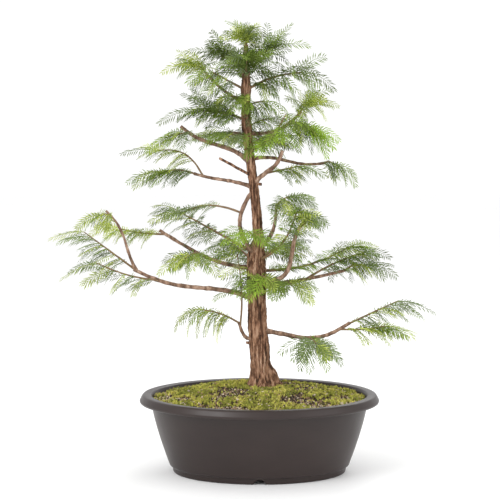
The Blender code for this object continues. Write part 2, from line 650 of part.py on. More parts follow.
def make_masses(collection, stems, cutters, paths):
    """Fuse each mass's sprays onto its stem, leaving out those that would touch anything else."""
    blocked = {name: tree_of(thing.data) for name, thing in cutters.items()}
    for mass in MASSES:
        swollen = tube_mesh("swollen", paths[mass.name], mass.root, TWIG_RADIUS, CLEAR, 0)
        blocked[mass.name] = tree_of(swollen)
        bpy.data.meshes.remove(swollen)
    for thing in collection.objects:
        if thing.name in ("pot", "soil"):
            blocked[thing.name] = tree_of(thing.data)
    for mass in MASSES:
        pieces = new_pieces(mass.name + "_sprays")
        taken = {}
        for index, (path, heading, roll) in enumerate(grow(mass, paths[mass.name])):
            name = "%s_%d" % (mass.name, index)
            swollen = loft_mesh("swollen", blade_rings(path, heading, roll, CLEAR))
            tree = tree_of(swollen)
            bpy.data.meshes.remove(swollen)
            others = (other for owner, other in blocked.items() if owner != mass.name)
            if not any(tree.overlap(other) for other in others):
                taken[name] = tree
                add_object(name, loft_mesh(name, blade_rings(path, heading, roll)), pieces)
        blocked.update(taken)
        fuse(stems[mass.name], pieces)


def clear_scene():
    """Remove what the file opens with."""
    for thing in list(bpy.data.objects):
        bpy.data.objects.remove(thing)


def main():
    clear_scene()
    plant = bpy.data.collections.new("dawn_redwood_bonsai")
    guides = bpy.data.collections.new("cutters")
    for collection in (plant, guides):
        bpy.context.scene.collection.children.link(collection)
    make_pot(plant, guides)
    make_soil(plant)
    paths = {}
    cutters = {"trunk": make_trunk(plant, guides)}
    make_boughs(plant, guides, cutters, paths)
    stems = make_stems(plant, cutters, paths)
    make_masses(plant, stems, cutters, paths)


if __name__ == "__main__":
    main()
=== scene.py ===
"""Dawn redwood bonsai in an oval training pot: the visible pieces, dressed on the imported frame.

Lengths are in millimetres and become metres when a piece is made. +Z is up and the front is towards -Y; a
place from the pot is measured from the middle of its foot. Every draw is seeded.
"""
import json
import math
import random
from collections import namedtuple

import bmesh
import bpy
from mathutils import Matrix, Vector, noise

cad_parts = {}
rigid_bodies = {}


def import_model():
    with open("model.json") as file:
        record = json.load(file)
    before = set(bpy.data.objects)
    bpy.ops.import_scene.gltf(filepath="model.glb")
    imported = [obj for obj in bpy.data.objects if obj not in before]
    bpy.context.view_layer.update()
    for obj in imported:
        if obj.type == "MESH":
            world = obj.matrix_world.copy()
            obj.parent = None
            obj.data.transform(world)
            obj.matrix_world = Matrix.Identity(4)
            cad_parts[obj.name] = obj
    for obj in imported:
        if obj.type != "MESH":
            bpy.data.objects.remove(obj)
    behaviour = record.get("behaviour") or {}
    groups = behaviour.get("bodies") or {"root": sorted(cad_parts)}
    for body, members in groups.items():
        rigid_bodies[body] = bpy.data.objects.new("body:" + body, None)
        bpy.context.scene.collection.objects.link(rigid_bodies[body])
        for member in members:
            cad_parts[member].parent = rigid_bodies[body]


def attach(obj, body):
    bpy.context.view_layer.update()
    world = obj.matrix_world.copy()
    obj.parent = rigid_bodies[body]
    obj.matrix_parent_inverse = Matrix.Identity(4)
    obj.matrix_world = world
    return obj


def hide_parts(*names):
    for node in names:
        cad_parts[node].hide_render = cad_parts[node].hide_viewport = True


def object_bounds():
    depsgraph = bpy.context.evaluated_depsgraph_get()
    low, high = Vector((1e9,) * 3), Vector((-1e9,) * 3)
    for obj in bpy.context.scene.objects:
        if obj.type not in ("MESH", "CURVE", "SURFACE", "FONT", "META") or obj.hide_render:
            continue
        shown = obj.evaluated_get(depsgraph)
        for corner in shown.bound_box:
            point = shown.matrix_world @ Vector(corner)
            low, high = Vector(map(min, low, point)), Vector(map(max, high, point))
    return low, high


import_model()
cad_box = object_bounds()

MM = 0.001
UP = Vector((0.0, 0.0, 1.0))
FULL_TURN = 2.0 * math.pi
# The pot's middle, measured from the origin
POT_X, POT_Y = 19.6, -5.3

# Pot: an oval tray of moulded plastic with a rolled rim and a notched foot
POT_LENGTH, POT_DEPTH, POT_HEIGHT = 305, 242, 100
POT_STRETCH = (POT_LENGTH - POT_DEPTH) / 2
WALL = 4.5
# Rim sections, each an inset from the pot's outer edge and a drop from its top
RIM_OUTSIDE = ((7, 0), (4.6, 0.4), (3, 2), (0.4, 7), (0, 8), (0.9, 11))
RIM_INSIDE = ((14.5, 0.5), (16, 3))
# Body: its insets under the rim and at the foot, and how its wall curves between them
BODY_TOP, BODY_TOP_INSET, BODY_FOOT_INSET, BODY_CURVE = 89, 15, 38.5, 1.3
OUTER_STEPS = 12
INNER_SHARES = (0.05, 0.35, 0.7)
# The small step at the wall's end: how far it stands out and up
STEP_OUT, STEP_UP = 0.6, 1.2
# Foot ring, and the floor's fillet
FOOT_INSET, FOOT_FLARE, FOOT_HEIGHT, FOOT_WIDTH, FOOT_HOLLOW = 43.5, 3, 8, 11, 5
FOOT_CHAMFER, FILLET = 0.9, 3
FOOT_LIP, FOOT_BACK, FOOT_FALL, FOOT_ROUNDING = 0.2, 1, 1.2, 1.4
# The pot's floor is capped at this radius
CENTRE_RADIUS = 2
NOTCH_RADIUS, NOTCH_DROP, NOTCH_DEPTH, NOTCH_AROUND = 8, 1.5, 18, 32
POT_AROUND = 192
# Each cut takes this share off both ends of every edge of the pot's section
CORNER_CUTS = (0.16, 0.25)

# Soil: its height at the wall and at its flat top, and shares of its radius with shares of its rise
SOIL_EDGE, SOIL_TOP, SOIL_GAP = 94, 107, 2.5
SOIL_MOUND = ((0, 1), (0.45, 1), (0.72, 0.42), (0.93, 0.08), (1, 0))
# Ground mesh: its gap to the wall, its grid, how near the middle it ends, and its skirt
GROUND_GAP, GROUND_ROWS, GROUND_AROUND, GROUND_SPAN = 0.6, 84, 240, 0.985
SKIRT_DROP, SKIRT_DRAW = 14, 0.05
# Lumps that fade at the wall, grains on them, and how far the moss's bed is above bare soil
LUMP_SCALE, LUMP_HEIGHT, LUMP_END, LUMP_FADE, LUMP_FRACTAL = 0.09, 2.2, 1.02, 8, (0.8, 2.2, 4)
GRAIN_SCALE, GRAIN_HEIGHT = 0.5, 0.7
MOSS_BED = 0.8
# Bare soil: noise patches, spots (x, y, size) and a ring along the wall
PATCH_SCALE_X, PATCH_SCALE_Y, PATCH_LAYER, PATCH_FRACTAL = 0.022, 0.03, 3.7, (0.8, 2, 4)
PATCH_LEVEL, SPOT_STRENGTH, RING_START, RING_STRENGTH = 0.12, 0.5, 0.84, 2.6
BARE_SPOTS = (
    (-30, -22, 15), (55, 6, 17), (26, 18, 14), (-112, 8, 22), (106, -18, 16),
)

# Moss: shoots tried, gap to the wall, share that grows on bare soil, height and lean
MOSS_SEED, MOSS_COUNT, MOSS_GAP, MOSS_ON_BARE = 401, 17000, 3, 0.06
MOSS_HEIGHT, MOSS_LEAN, MOSS_BLADES = (2, 4.2), 1.2, 3
# Its tint is noise and a draw: bright over one level, deep under the other
TINT_SCALE, TINT_LAYER, TINT_SPREAD, TINT_BRIGHT, TINT_DEEP = 0.06, 9, 0.45, 0.22, -0.25
# A blade: half width, its tip's height and reach, where its belly is and how deep it is rooted
BLADE_HALF_WIDTH, BLADE_HEIGHT, BLADE_REACH = (0.45, 0.8), (0.75, 1.1), (0.6, 1.9)
BELLY_HEIGHT, BELLY_REACH, BLADE_ROOT = 0.5, 0.7, 0.6
MOSS_COLOURS = (("moss_bright", (0.86, 0.8, 0.2)), ("moss_green", (0.62, 0.62, 0.12)),
                ("moss_deep", (0.36, 0.38, 0.075)))

# Grit: grains tried, gap to the wall, how they crowd towards it, and the share kept among moss
GRIT_SEED, GRIT_COUNT, GRIT_GAP, GRIT_CROWDING = 402, 9000, 2.2, 0.42
GRIT_MOSS_LEVEL, GRIT_IN_MOSS = -0.02, 0.2
# A grain: its size, shares of it along and up, draws of its corners, and how it is turned
GRIT_SIZE, GRIT_WIDE, GRIT_TALL, GRIT_CORNER = (0.6, 1.6), (0.7, 1.3), (0.5, 0.9), (0.8, 1.15)
GRIT_SPIN, GRIT_TIP = 6.28, 1.2
# How many sizes a grain is lifted
LIFT_ON_MOSS, LIFT_ON_SOIL = 1.6, 0.3
# Shares of pale grains by the wall and elsewhere, and of tan ones everywhere
PALE_BY_WALL, PALE_ELSEWHERE, TAN_SHARE = 0.5, 0.22, 0.33
GRIT_COLOURS = (("grit_pale", (0.7, 0.58, 0.42)), ("grit_tan", (0.38, 0.25, 0.14)),
                ("grit_dark", (0.05, 0.034, 0.024)))

# Trunk: height above the foot plane, middle in X and Y from the pot's middle, radius
TRUNK = (
    (107.3, 3, 12, 13.5), (122, 2.3, 12, 12.6), (152, 0.5, 12, 12.6), (192, -3, 11, 11.8),
    (218, -3, 10, 11), (245, -3.5, 10, 12.2), (259, -4.4, 9, 11.4), (281, -3.8, 8, 9.2),
    (297, -1.5, 8, 6.6), (325, -3, 7, 5.9), (372, -8.3, 5, 5.7), (422, -15, 3, 5.7),
    (446, -16.6, 2, 6.1), (472, -17.2, 1, 5.4), (484, -17.1, 1, 6.6), (497, -17, 0, 5),
    (522, -17.4, 0, 4.2), (541, -17, 0, 2.4),
)
# Root flare: heading in degrees, how far each root stands out at the ground, and its half width
ROOTS = ((352, 17, 24), (300, 7, 26), (262, 10, 24), (205, 6, 30), (150, 9, 28), (85, 11, 30))
FLARE_HEIGHT, FLARE_CURVE = 30.0, 2.6
# Dead stubs fused to the trunk: height, heading, reach, rise, root radius, tip radius
STUBS = ((376, 215, 50, 24, 1.7, 1.3), (160, 190, 17, 4, 2.2, 1.6), (367, 340, 11, -1, 1.8, 1.5))

# A limb leaves the trunk at a height, or a bough at a share of its length. It runs along a heading
# (degrees, 0 = +X, 90 = +Y) for its reach and rise, bent by a hump, a wave and a sway.
Limb = namedtuple("Limb", "name parent at heading reach rise hump wave sway root tip")
LIMBS = [Limb(*row) for row in (
    ("low_left_bough", "trunk", 219, 192, 158, 42, -3, 4, 5, 3.2, 2.1),
    ("low_left_fork", "low_left_bough", 0.98, 200, 38, 76, 4, -2, 3, 1.9, 1.3),
    ("second_left_bough", "trunk", 259, 166, 128, 46, -11, -1, -5, 2.7, 1.9),
    ("left_spur", "trunk", 169, 200, 27, 22, -9, -1, 0, 2.7, 1.8),
    ("loop_bough", "trunk", 273, 205, 6, 84, -21, 1, 3, 2.8, 2.4),
    ("middle_left_bough", "trunk", 362, 170, 77, 17, 1, 1, 4, 2.6, 1.7),
    ("upper_left_bough", "trunk", 395, 178, 88, 44, -1, 3, -5, 3.0, 2.0),
    ("top_left_bough", "trunk", 467, 160, 55, 40, -3, 0, 3, 2.3, 1.4),
    ("low_right_bough", "trunk", 180, 350, 118, 12, -14, 3, -4, 3.0, 2.0),
    ("second_right_bough", "trunk", 236, 12, 118, 18, -3, 0, 5, 2.8, 1.8),
    ("steep_right_bough", "trunk", 243, 330, 76, 84, -16, -11, 0, 2.9, 2.3),
    ("front_right_bough", "trunk", 284, 315, 35, 57, -9, -1, 3, 2.7, 1.7),
    ("middle_right_bough", "trunk", 366, 335, 40, 43, -4, 2, 0, 3.1, 2.2),
    ("upper_right_bough", "trunk", 398, 15, 99, -6, 0, 3, 4, 2.3, 1.6),
    ("top_right_bough", "trunk", 430, 20, 73, 27, -10, 0, -3, 2.6, 1.8),
)]

# A mass's stem is told in the same way. Its sprays stand from a first share of the stem to its tip: how
# many, how wide they fan, their length, their lift at the root, their hang and their roll.
Mass = namedtuple(
    "Mass", "name parent at heading reach rise hump root first sprays fan size lift hang roll seed")
MASSES = [Mass(*row) for row in (
    # Left side, from the lowest bough upwards
    ("far_left", "low_left_bough", 0.97, 187, 66, 50, 0, 1.5, 0.3, 5, 46, 40, -4, 26, 28, 11),
    ("far_left_low", "low_left_bough", 0.78, 204, 84, 26, -4, 1.5, 0.1, 4, 40, 42, -10, 22, 40, 12),
    ("fork_top", "low_left_fork", 0.86, 200, 16, 4, 3, 1.3, 0.3, 4, 76, 34, 0, 60, 50, 13),
    ("second_left_tip", "second_left_bough", 0.93, 176, 60, 7, -2, 1.5, 0.25, 5, 60, 42, 14, 60, 45, 15),
    ("second_left_front", "second_left_bough", 0.5, 226, 38, 0, 6, 1.4, 0.2, 5, 70, 42, -4, 46, 50, 16),
    ("spur", "left_spur", 0.97, 190, 46, 18, 3, 1.5, 0.3, 5, 60, 44, 2, 88, 55, 17),
    ("upright_spur", "left_spur", 0.85, 132, 6, 92, 6, 1.4, 0.6, 4, 40, 40, 10, 46, 35, 18),
    ("inner_left", "trunk", 277, 150, 124, 54, 0, 2.3, 0.5, 6, 55, 42, 4, 40, 30, 19),
    ("loop", "loop_bough", 0.7, 172, 80, -2, 10, 1.5, 0.45, 4, 48, 40, 6, 38, 30, 20),
    ("middle_left", "middle_left_bough", 0.97, 180, 46, 2, 4, 1.4, 0.1, 6, 52, 44, 2, 40, 35, 21),
    ("middle_left_top", "middle_left_bough", 0.84, 172, 62, 32, 14, 1.3, 0.4, 4, 50, 38, 4, 30, 30, 22),
    ("upper_left", "upper_left_bough", 0.8, 208, 26, 0, 3, 1.3, 0.3, 4, 62, 42, 2, 46, 40, 23),
    ("upper_left_back", "trunk", 428, 128, 76, -2, 4, 1.8, 0.4, 4, 50, 42, 6, 40, 30, 24),
    ("high_left", "trunk", 446, 190, 64, 12, 5, 2.0, 0.3, 6, 52, 42, 4, 42, 32, 25),
    ("top_left", "top_left_bough", 0.97, 168, 18, 12, 2, 1.3, 0.15, 4, 64, 36, 8, 44, 40, 26),
    ("top_left_front", "trunk", 484, 212, 48, 22, 0, 1.8, 0.45, 4, 55, 40, 0, 50, 45, 27),
    # Right side, from the lowest bough upwards
    ("low_right", "low_right_bough", 0.97, 354, 64, 31, 0, 1.5, 0.2, 6, 50, 42, 0, 32, 32, 31),
    ("low_right_front", "low_right_bough", 0.88, 334, 62, 8, -2, 1.4, 0.3, 5, 44, 44, 2, 26, 35, 32),
    ("low_right_under", "low_right_bough", 0.5, 300, 30, -6, 4, 1.4, 0.3, 5, 80, 44, -18, 46, 60, 33),
    ("second_right", "second_right_bough", 0.97, 8, 28, 6, 4, 1.4, 0.1, 4, 62, 40, 6, 50, 45, 34),
    ("second_right_fork", "second_right_bough", 0.55, 22, 82, 32, 3, 1.7, 0.4, 6, 46, 40, 8, 44, 35, 35),
    ("second_right_under", "second_right_bough", 0.3, 298, 26, -3, 3, 1.4, 0.3, 4, 88, 44, 4, 46, 50, 36),
    ("third_right", "trunk", 256, 26, 138, 26, -10, 2.2, 0.55, 7, 52, 42, 12, 34, 38, 37),
    ("steep_right", "steep_right_bough", 0.9, 200, 6, 16, 2, 1.4, 0.3, 4, 66, 38, 14, 60, 45, 38),
    ("right_inner", "trunk", 268, 322, 64, 66, -12, 2.2, 0.5, 6, 66, 38, 8, 40, 35, 49),
    ("front_right", "front_right_bough", 0.96, 335, 18, 14, 3, 1.3, 0.15, 5, 74, 42, 4, 44, 40, 58),
    ("middle_right", "middle_right_bough", 0.36, 10, 44, 9, 0, 1.5, 0.3, 4, 52, 40, 2, 44, 38, 41),
    ("upper_right", "upper_right_bough", 0.97, 4, 16, -2, 3, 1.3, 0.1, 4, 66, 38, -10, 62, 50, 42),
    ("right_curtain", "top_right_bough", 0.72, 338, 28, -8, 5, 1.4, 0.1, 5, 64, 44, -12, 56, 55, 43),
    ("right_spike", "trunk", 409, 325, 56, 46, -8, 2.4, 0.35, 4, 70, 36, -10, 40, 40, 44),
    ("top_right", "top_right_bough", 0.97, 12, 14, 14, 2, 1.3, 0.1, 4, 76, 38, 10, 44, 45, 45),
    ("high_right", "trunk", 484, 350, 70, 22, 5, 2.0, 0.35, 5, 56, 42, -4, 60, 50, 46),
    # Front and back, which keep the crown full from every side
    ("front_upper", "trunk", 288, 252, 42, 22, 4, 1.7, 0.4, 4, 66, 40, 8, 50, 50, 51),
    ("front_lower", "trunk", 243, 286, 40, 8, 4, 1.7, 0.4, 5, 72, 42, 0, 50, 50, 52),
    ("back_left", "trunk", 262, 112, 88, 22, 3, 2.2, 0.35, 6, 58, 46, 6, 40, 35, 54),
    ("back_right", "trunk", 268, 62, 92, 16, 3, 2.2, 0.35, 6, 58, 46, 6, 40, 35, 55),
    ("back_high", "trunk", 412, 68, 70, 14, 3, 1.9, 0.35, 6, 58, 44, 8, 40, 35, 56),
    # The top
    ("crest_left", "trunk", 510, 178, 38, 20, 3, 1.5, 0.25, 4, 66, 38, 22, 44, 40, 61),
    ("crest_right", "trunk", 516, 6, 38, 22, 2, 1.5, 0.25, 4, 66, 38, 22, 40, 40, 62),
    ("crest_front", "trunk", 500, 272, 28, 20, 3, 1.5, 0.3, 4, 76, 40, 22, 46, 40, 63),
    ("crest_back", "trunk", 493, 101, 39, 24, 2, 1.7, 0.35, 4, 70, 41, 18, 44, 38, 71),
    ("crest", "trunk", 540, 60, 3, 14, 0, 1.6, 0.3, 5, 60, 32, 24, 40, 40, 65),
)]

# Thin stems and sprays close to the upper trunk, which the solids leave out
INNER = [Mass(*row) for row in (
    ("inner_high_right", "trunk", 462, 338, 26, 8, 3, 1.2, 0.2, 4, 80, 38, -10, 60, 50, 81),
    ("inner_high_left", "trunk", 470, 215, 24, 6, 3, 1.2, 0.2, 4, 80, 36, 0, 60, 50, 82),
    ("inner_middle_right", "trunk", 436, 20, 30, 12, 3, 1.2, 0.2, 4, 80, 36, 6, 50, 50, 83),
    ("inner_middle_left", "trunk", 424, 200, 26, 4, 3, 1.2, 0.2, 4, 80, 36, 6, 50, 50, 84),
)]

# Centre lines have this many steps, and limbs taper by this curve; stems keep every second point
PATH_STEPS = 8
TAPER_CURVE = 0.8
STEM_STRIDE = 2

# A stem steeper than this deals its sprays in a spiral; others fan them less towards the tip
STEEP, GOLDEN_ANGLE, FAN_CURVE = 55.0, 137.5, 3
TURN_SPREAD, LIFT_SPREAD, ROLL_SPREAD, SIZE_SPREAD = 9.0, 7.0, 18.0, 0.14
# No spray falls more steeply than this
STEEPEST_FALL = -88.0


# Small helpers

def from_pot(x, y, z):
    """A place measured in mm from the pot's middle, in the plant's frame."""
    return Vector((POT_X + x, POT_Y + y, z))


def heading_vector(degrees):
    """The level direction of a heading."""
    angle = math.radians(degrees)
    return Vector((math.cos(angle), math.sin(angle), 0.0))


def turn_between(angle, heading):
    """The signed turn from a heading to an angle, in degrees."""
    return (angle - heading + 180.0) % 360.0 - 180.0


def turns_of(count):
    """Even turns round a ring, in radians."""
    return [FULL_TURN * step / count for step in range(count)]


def blend(low, high, share):
    """The value at a share of the way from low to high."""
    return low + (high - low) * share


def taper(root, tip, count):
    """Radii from root to tip in even steps."""
    return [blend(root, tip, step / (count - 1)) for step in range(count)]


def scatter_vector(rng, size):
    """A small seeded offset in every direction."""
    return Vector([rng.uniform(-size, size) for _ in range(3)])


# Centre lines

def trunk_station(height):
    """The trunk's middle from the pot, in X and Y, and its radius at a height."""
    for low, high in zip(TRUNK, TRUNK[1:]):
        if height <= high[0]:
            share = (height - low[0]) / (high[0] - low[0])
            return [blend(a, b, share) for a, b in zip(low[1:], high[1:])]
    return TRUNK[-1][1:]


def trunk_point(height):
    """The trunk's middle at a height."""
    x, y, _ = trunk_station(height)
    return from_pot(x, y, height)


def bent_run(start, limb, sway, wave):
    """A limb's centre line: a straight run, bent up and down by a hump and a wave and aside by a sway."""
    ahead = heading_vector(limb.heading)
    aside = UP.cross(ahead)
    run = ahead * limb.reach + UP * limb.rise
    over = (UP * limb.reach - ahead * limb.rise).normalized()
    points = []
    for step in range(PATH_STEPS + 1):
        share = step / PATH_STEPS
        arch = math.sin(math.pi * share)
        lift = limb.hump * arch + wave * math.sin(FULL_TURN * share)
        points.append(start + run * share + over * lift + aside * (sway * arch))
    return points


def point_on(path, share):
    """The point at a share of a path, and the path's direction there."""
    place = min(share, 0.9999) * (len(path) - 1)
    index = int(place)
    step = path[index + 1] - path[index]
    return path[index] + step * (place - index), step.normalized()


def root_point(limb, paths):
    """Where a limb starts: on the trunk's middle line, or on its bough's."""
    if limb.parent == "trunk":
        return trunk_point(limb.at)
    return point_on(paths[limb.parent], limb.at)[0]


def limb_paths():
    """Centre lines of every bough and every stem."""
    paths = {}
    for limb in LIMBS:
        paths[limb.name] = bent_run(root_point(limb, paths), limb, limb.sway, limb.wave)
    for mass in MASSES + INNER:
        paths[mass.name] = bent_run(root_point(mass, paths), mass, 0.0, 0.0)[::STEM_STRIDE]
    return paths


def spray_path(start, heading, lift, hang, length):
    """A spray's centre line: it leaves at a heading and a lift, and bends down by its hang."""
    level = heading_vector(heading)
    step = length / PATH_STEPS
    points = [start]
    for index in range(PATH_STEPS):
        angle = math.radians(max(lift - hang * (index + 0.5) / PATH_STEPS, STEEPEST_FALL))
        points.append(points[-1] + (level * math.cos(angle) + UP * math.sin(angle)) * step)
    return points


def resample(path, count):
    """A path drawn again with an even count of points, rounded at its joints."""
    points = []
    for index in range(count):
        place = index / (count - 1) * (len(path) - 1)
        low = min(int(place), len(path) - 2)
        share = place - low
        before = path[max(low - 1, 0)]
        after = path[min(low + 2, len(path) - 1)]
        a, b = path[low], path[low + 1]
        points.append(0.5 * (2.0 * a + (b - before) * share
                             + (2.0 * before - 5.0 * a + 4.0 * b - after) * share ** 2
                             + (3.0 * a - before - 3.0 * b + after) * share ** 3))
    return points


# Materials

EVEN = (1.0, 1.0, 1.0)
# A mottled finish: a ramp of colours, its noise in cells per metre, its bump's strength and depth in metres
Finish = namedtuple(
    "Finish", "stops scale detail roughness bump depth stretch specular", defaults=(EVEN, 0.35))
# The bump's noise: how much finer it is than the colour's, its detail and its roughness
FINE_SCALE, FINE_DETAIL, FINE_ROUGHNESS = 2.5, 6.0, 0.65

SOIL_FINISH = Finish(
    ((0.3, (0.03, 0.019, 0.012)), (0.55, (0.085, 0.055, 0.033)), (0.75, (0.19, 0.13, 0.08))),
    scale=420.0, detail=5.0, roughness=0.92, bump=0.8, depth=0.0012)
BARK_FINISH = Finish(
    ((0.34, (0.04, 0.02, 0.012)), (0.45, (0.15, 0.07, 0.038)), (0.55, (0.39, 0.21, 0.125)),
     (0.7, (0.64, 0.43, 0.3))),
    scale=300.0, detail=9.0, roughness=0.9, bump=1.0, depth=0.0016, stretch=(1.0, 1.0, 0.16))
BOUGH_FINISH = Finish(
    ((0.3, (0.075, 0.042, 0.026)), (0.46, (0.19, 0.112, 0.074)), (0.6, (0.37, 0.235, 0.165)),
     (0.76, (0.57, 0.43, 0.34))),
    scale=190.0, detail=6.0, roughness=0.85, bump=0.6, depth=0.0006, stretch=(1.0, 1.0, 0.5))
TWIG_FINISH = Finish(
    ((0.3, (0.15, 0.085, 0.045)), (0.7, (0.3, 0.205, 0.11))),
    scale=140.0, detail=4.0, roughness=0.75, bump=0.3, depth=0.0003)
FLOOR_FINISH = Finish(
    ((0.4, (0.93, 0.93, 0.93)), (0.6, (0.95, 0.95, 0.95))),
    scale=3.0, detail=2.0, roughness=0.9, bump=0.0, depth=0.0001, specular=0.1)
# These hold shares of a piece's own colour instead of colours
MOSS_FINISH = Finish(
    ((0.35, 0.62), (0.65, 1.0)), scale=160.0, detail=3.0, roughness=0.85, bump=0.2, depth=0.0003)
GRIT_FINISH = Finish(
    ((0.35, 0.6), (0.65, 1.0)), scale=500.0, detail=3.0, roughness=0.9, bump=0.4, depth=0.0003)
NEEDLE_FINISH = Finish(
    ((0.3, 0.72), (0.52, 1.0), (0.72, 1.18)),
    scale=90.0, detail=3.0, roughness=0.6, bump=0.15, depth=0.0002, specular=0.3)

# The pot's plastic: two browns, the noise of its shade, grain and scuffs, and its roughness
POT_STOPS = ((0.3, (0.02, 0.0115, 0.01)), (0.7, (0.03, 0.018, 0.0155)))
POT_SHADE, POT_GRAIN, POT_SCUFFS = (9.0, 4.0, (1.0, 1.0, 2.0)), (900.0, 3.0), (60.0, 5.0, (1.0, 1.0, 0.4))
POT_GRAIN_BUMP, POT_GRAIN_DEPTH = 0.12, 0.0004
POT_ROUGHNESS, POT_SMOOTHEST, POT_ROUGHEST, POT_SPECULAR = 0.36, 0.3, 0.46, 0.42


def set_inputs(node, values):
    """Set some of a node's inputs."""
    for name, value in values.items():
        node.inputs[name].default_value = value


def node_material(name, roughness, specular):
    """A Principled material with its roughness and specular level."""
    material = bpy.data.materials.new(name)
    material.use_nodes = True
    shader = material.node_tree.nodes["Principled BSDF"]
    set_inputs(shader, {"Roughness": roughness, "Metallic": 0.0, "Specular IOR Level": specular})
    return material, material.node_tree, shader


def noise_node(tree, scale, detail, stretch=EVEN, rough=0.55):
    """A noise texture in object coordinates, with a stretch per axis."""
    place = tree.nodes.new("ShaderNodeTexCoord")
    mapping = tree.nodes.new("ShaderNodeMapping")
    texture = tree.nodes.new("ShaderNodeTexNoise")
    set_inputs(mapping, {"Scale": stretch})
    set_inputs(texture, {"Scale": scale, "Detail": detail, "Roughness": rough})
    tree.links.new(place.outputs["Object"], mapping.inputs["Vector"])
    tree.links.new(mapping.outputs["Vector"], texture.inputs["Vector"])
    return texture


def add_colour(tree, shader, texture, stops):
    """Colour a material by a ramp from a texture's value."""
    ramp = tree.nodes.new("ShaderNodeValToRGB")
    elements = ramp.color_ramp.elements
    while len(elements) < len(stops):
        elements.new(0.5)
    for element, (place, colour) in zip(elements, stops):
        element.position = place
        element.color = (*colour, 1.0)
    tree.links.new(texture.outputs["Fac"], ramp.inputs["Fac"])
    tree.links.new(ramp.outputs["Color"], shader.inputs["Base Color"])


def add_bump(tree, shader, texture, strength, depth):
    """Raise a material's surface by a texture's value."""
    raised = tree.nodes.new("ShaderNodeBump")
    set_inputs(raised, {"Strength": strength, "Distance": depth})
    tree.links.new(texture.outputs["Fac"], raised.inputs["Height"])
    tree.links.new(raised.outputs["Normal"], shader.inputs["Normal"])


def mottled(name, finish):
    """A material whose colour and bump both come from stretched noise."""
    material, tree, shader = node_material(name, finish.roughness, finish.specular)
    texture = noise_node(tree, finish.scale, finish.detail, finish.stretch)
    add_colour(tree, shader, texture, finish.stops)
    fine = noise_node(tree, finish.scale * FINE_SCALE, FINE_DETAIL, finish.stretch, FINE_ROUGHNESS)
    add_bump(tree, shader, fine, finish.bump, finish.depth)
    return material


def tinted(name, finish, colour):
    """A mottled material in shades of one colour."""
    stops = []
    for place, share in finish.stops:
        stops.append((place, tuple(min(1.0, channel * share) for channel in colour)))
    return mottled(name, finish._replace(stops=stops))


def pot_plastic():
    """Dark brown plastic with a fine grain and faint scuffs."""
    material, tree, shader = node_material("pot_plastic", POT_ROUGHNESS, POT_SPECULAR)
    add_colour(tree, shader, noise_node(tree, *POT_SHADE), POT_STOPS)
    add_bump(tree, shader, noise_node(tree, *POT_GRAIN), POT_GRAIN_BUMP, POT_GRAIN_DEPTH)
    scuffs = noise_node(tree, *POT_SCUFFS)
    span = tree.nodes.new("ShaderNodeMapRange")
    set_inputs(span, {"To Min": POT_SMOOTHEST, "To Max": POT_ROUGHEST})
    tree.links.new(scuffs.outputs["Fac"], span.inputs["Value"])
    tree.links.new(span.outputs["Result"], shader.inputs["Roughness"])
    return material


# Mesh building

# Relief of tubes: noise cells per mm, how far the noise turns with the tube, and its fractal
TUBE_CELLS, TUBE_TURN, TUBE_FRACTAL = 0.16, 2.0, (0.9, 2.1, 4)


def new_object(name, data):
    """An object in the scene."""
    thing = bpy.data.objects.new(name, data)
    bpy.context.scene.collection.objects.link(thing)
    return thing


class Build:
    """Points and faces gathered for one piece."""

    def __init__(self):
        self.points = []
        self.faces = []

    def add(self, points, faces):
        """Add points, and faces that count from the first of them."""
        base = len(self.points)
        self.points += [tuple(point) for point in points]
        self.faces += [tuple(base + i for i in face) for face in faces]

    def loft(self, rings):
        """Add a capped tube through rings of equal count."""
        count = len(rings[0])
        points = [point for ring in rings for point in ring]
        faces = []
        for row in range(len(rings) - 1):
            low, high = row * count, (row + 1) * count
            for i in range(count):
                j = (i + 1) % count
                faces.append((low + i, low + j, high + j, high + i))
        faces.append(tuple(reversed(range(count))))
        faces.append(tuple(range(len(points) - count, len(points))))
        self.add(points, faces)

    def piece(self, name, material, slot, smooth=True, closed=False):
        """Make the piece, in metres, riding on the plant; a closed one's faces are turned outwards."""
        mesh = bpy.data.meshes.new(name)
        mesh.from_pydata([(x * MM, y * MM, z * MM) for x, y, z in self.points], [], self.faces)
        mesh.validate()
        if closed:
            bm = bmesh.new()
            bm.from_mesh(mesh)
            bmesh.ops.recalc_face_normals(bm, faces=bm.faces)
            bm.to_mesh(mesh)
            bm.free()
        mesh.materials.append(material)
        for polygon in mesh.polygons:
            polygon.use_smooth = smooth
        thing = new_object(name, mesh)
        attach(thing, "root")
        return thing


def tinted_pieces(builds, colours, finish, slot, smooth=True):
    """One piece for each kind, in its own colour."""
    for build, (name, colour) in zip(builds, colours):
        build.piece(name, tinted(name, finish, colour), slot, smooth=smooth)


def tube_rings(path, radii, sides, relief=0.0, seed=0.0):
    """Round sections along a path, roughened by noise."""
    rings = []
    side = None
    for index, point in enumerate(path):
        ahead = (path[min(index + 1, len(path) - 1)] - path[max(index - 1, 0)]).normalized()
        if side is None:
            side = ahead.orthogonal().normalized()
        side = (side - ahead * side.dot(ahead)).normalized()
        other = ahead.cross(side)
        ring = []
        for turn in turns_of(sides):
            spoke = side * math.cos(turn) + other * math.sin(turn)
            reach = radii[index]
            if relief:
                place = Vector([p * TUBE_CELLS + s * TUBE_TURN + shift
                                for p, s, shift in zip(point, spoke, (0.0, 0.0, seed))])
                reach *= 1.0 + relief * noise.fractal(place, *TUBE_FRACTAL)
            ring.append(point + spoke * reach)
        rings.append(ring)
    return rings


# Pot

def wall_point(share):
    """A point of the pot's outer wall, from under the rim (0) to the foot (1)."""
    inset = blend(BODY_TOP_INSET, BODY_FOOT_INSET, share ** BODY_CURVE)
    return POT_DEPTH / 2.0 - inset, blend(BODY_TOP, FOOT_HEIGHT, share)


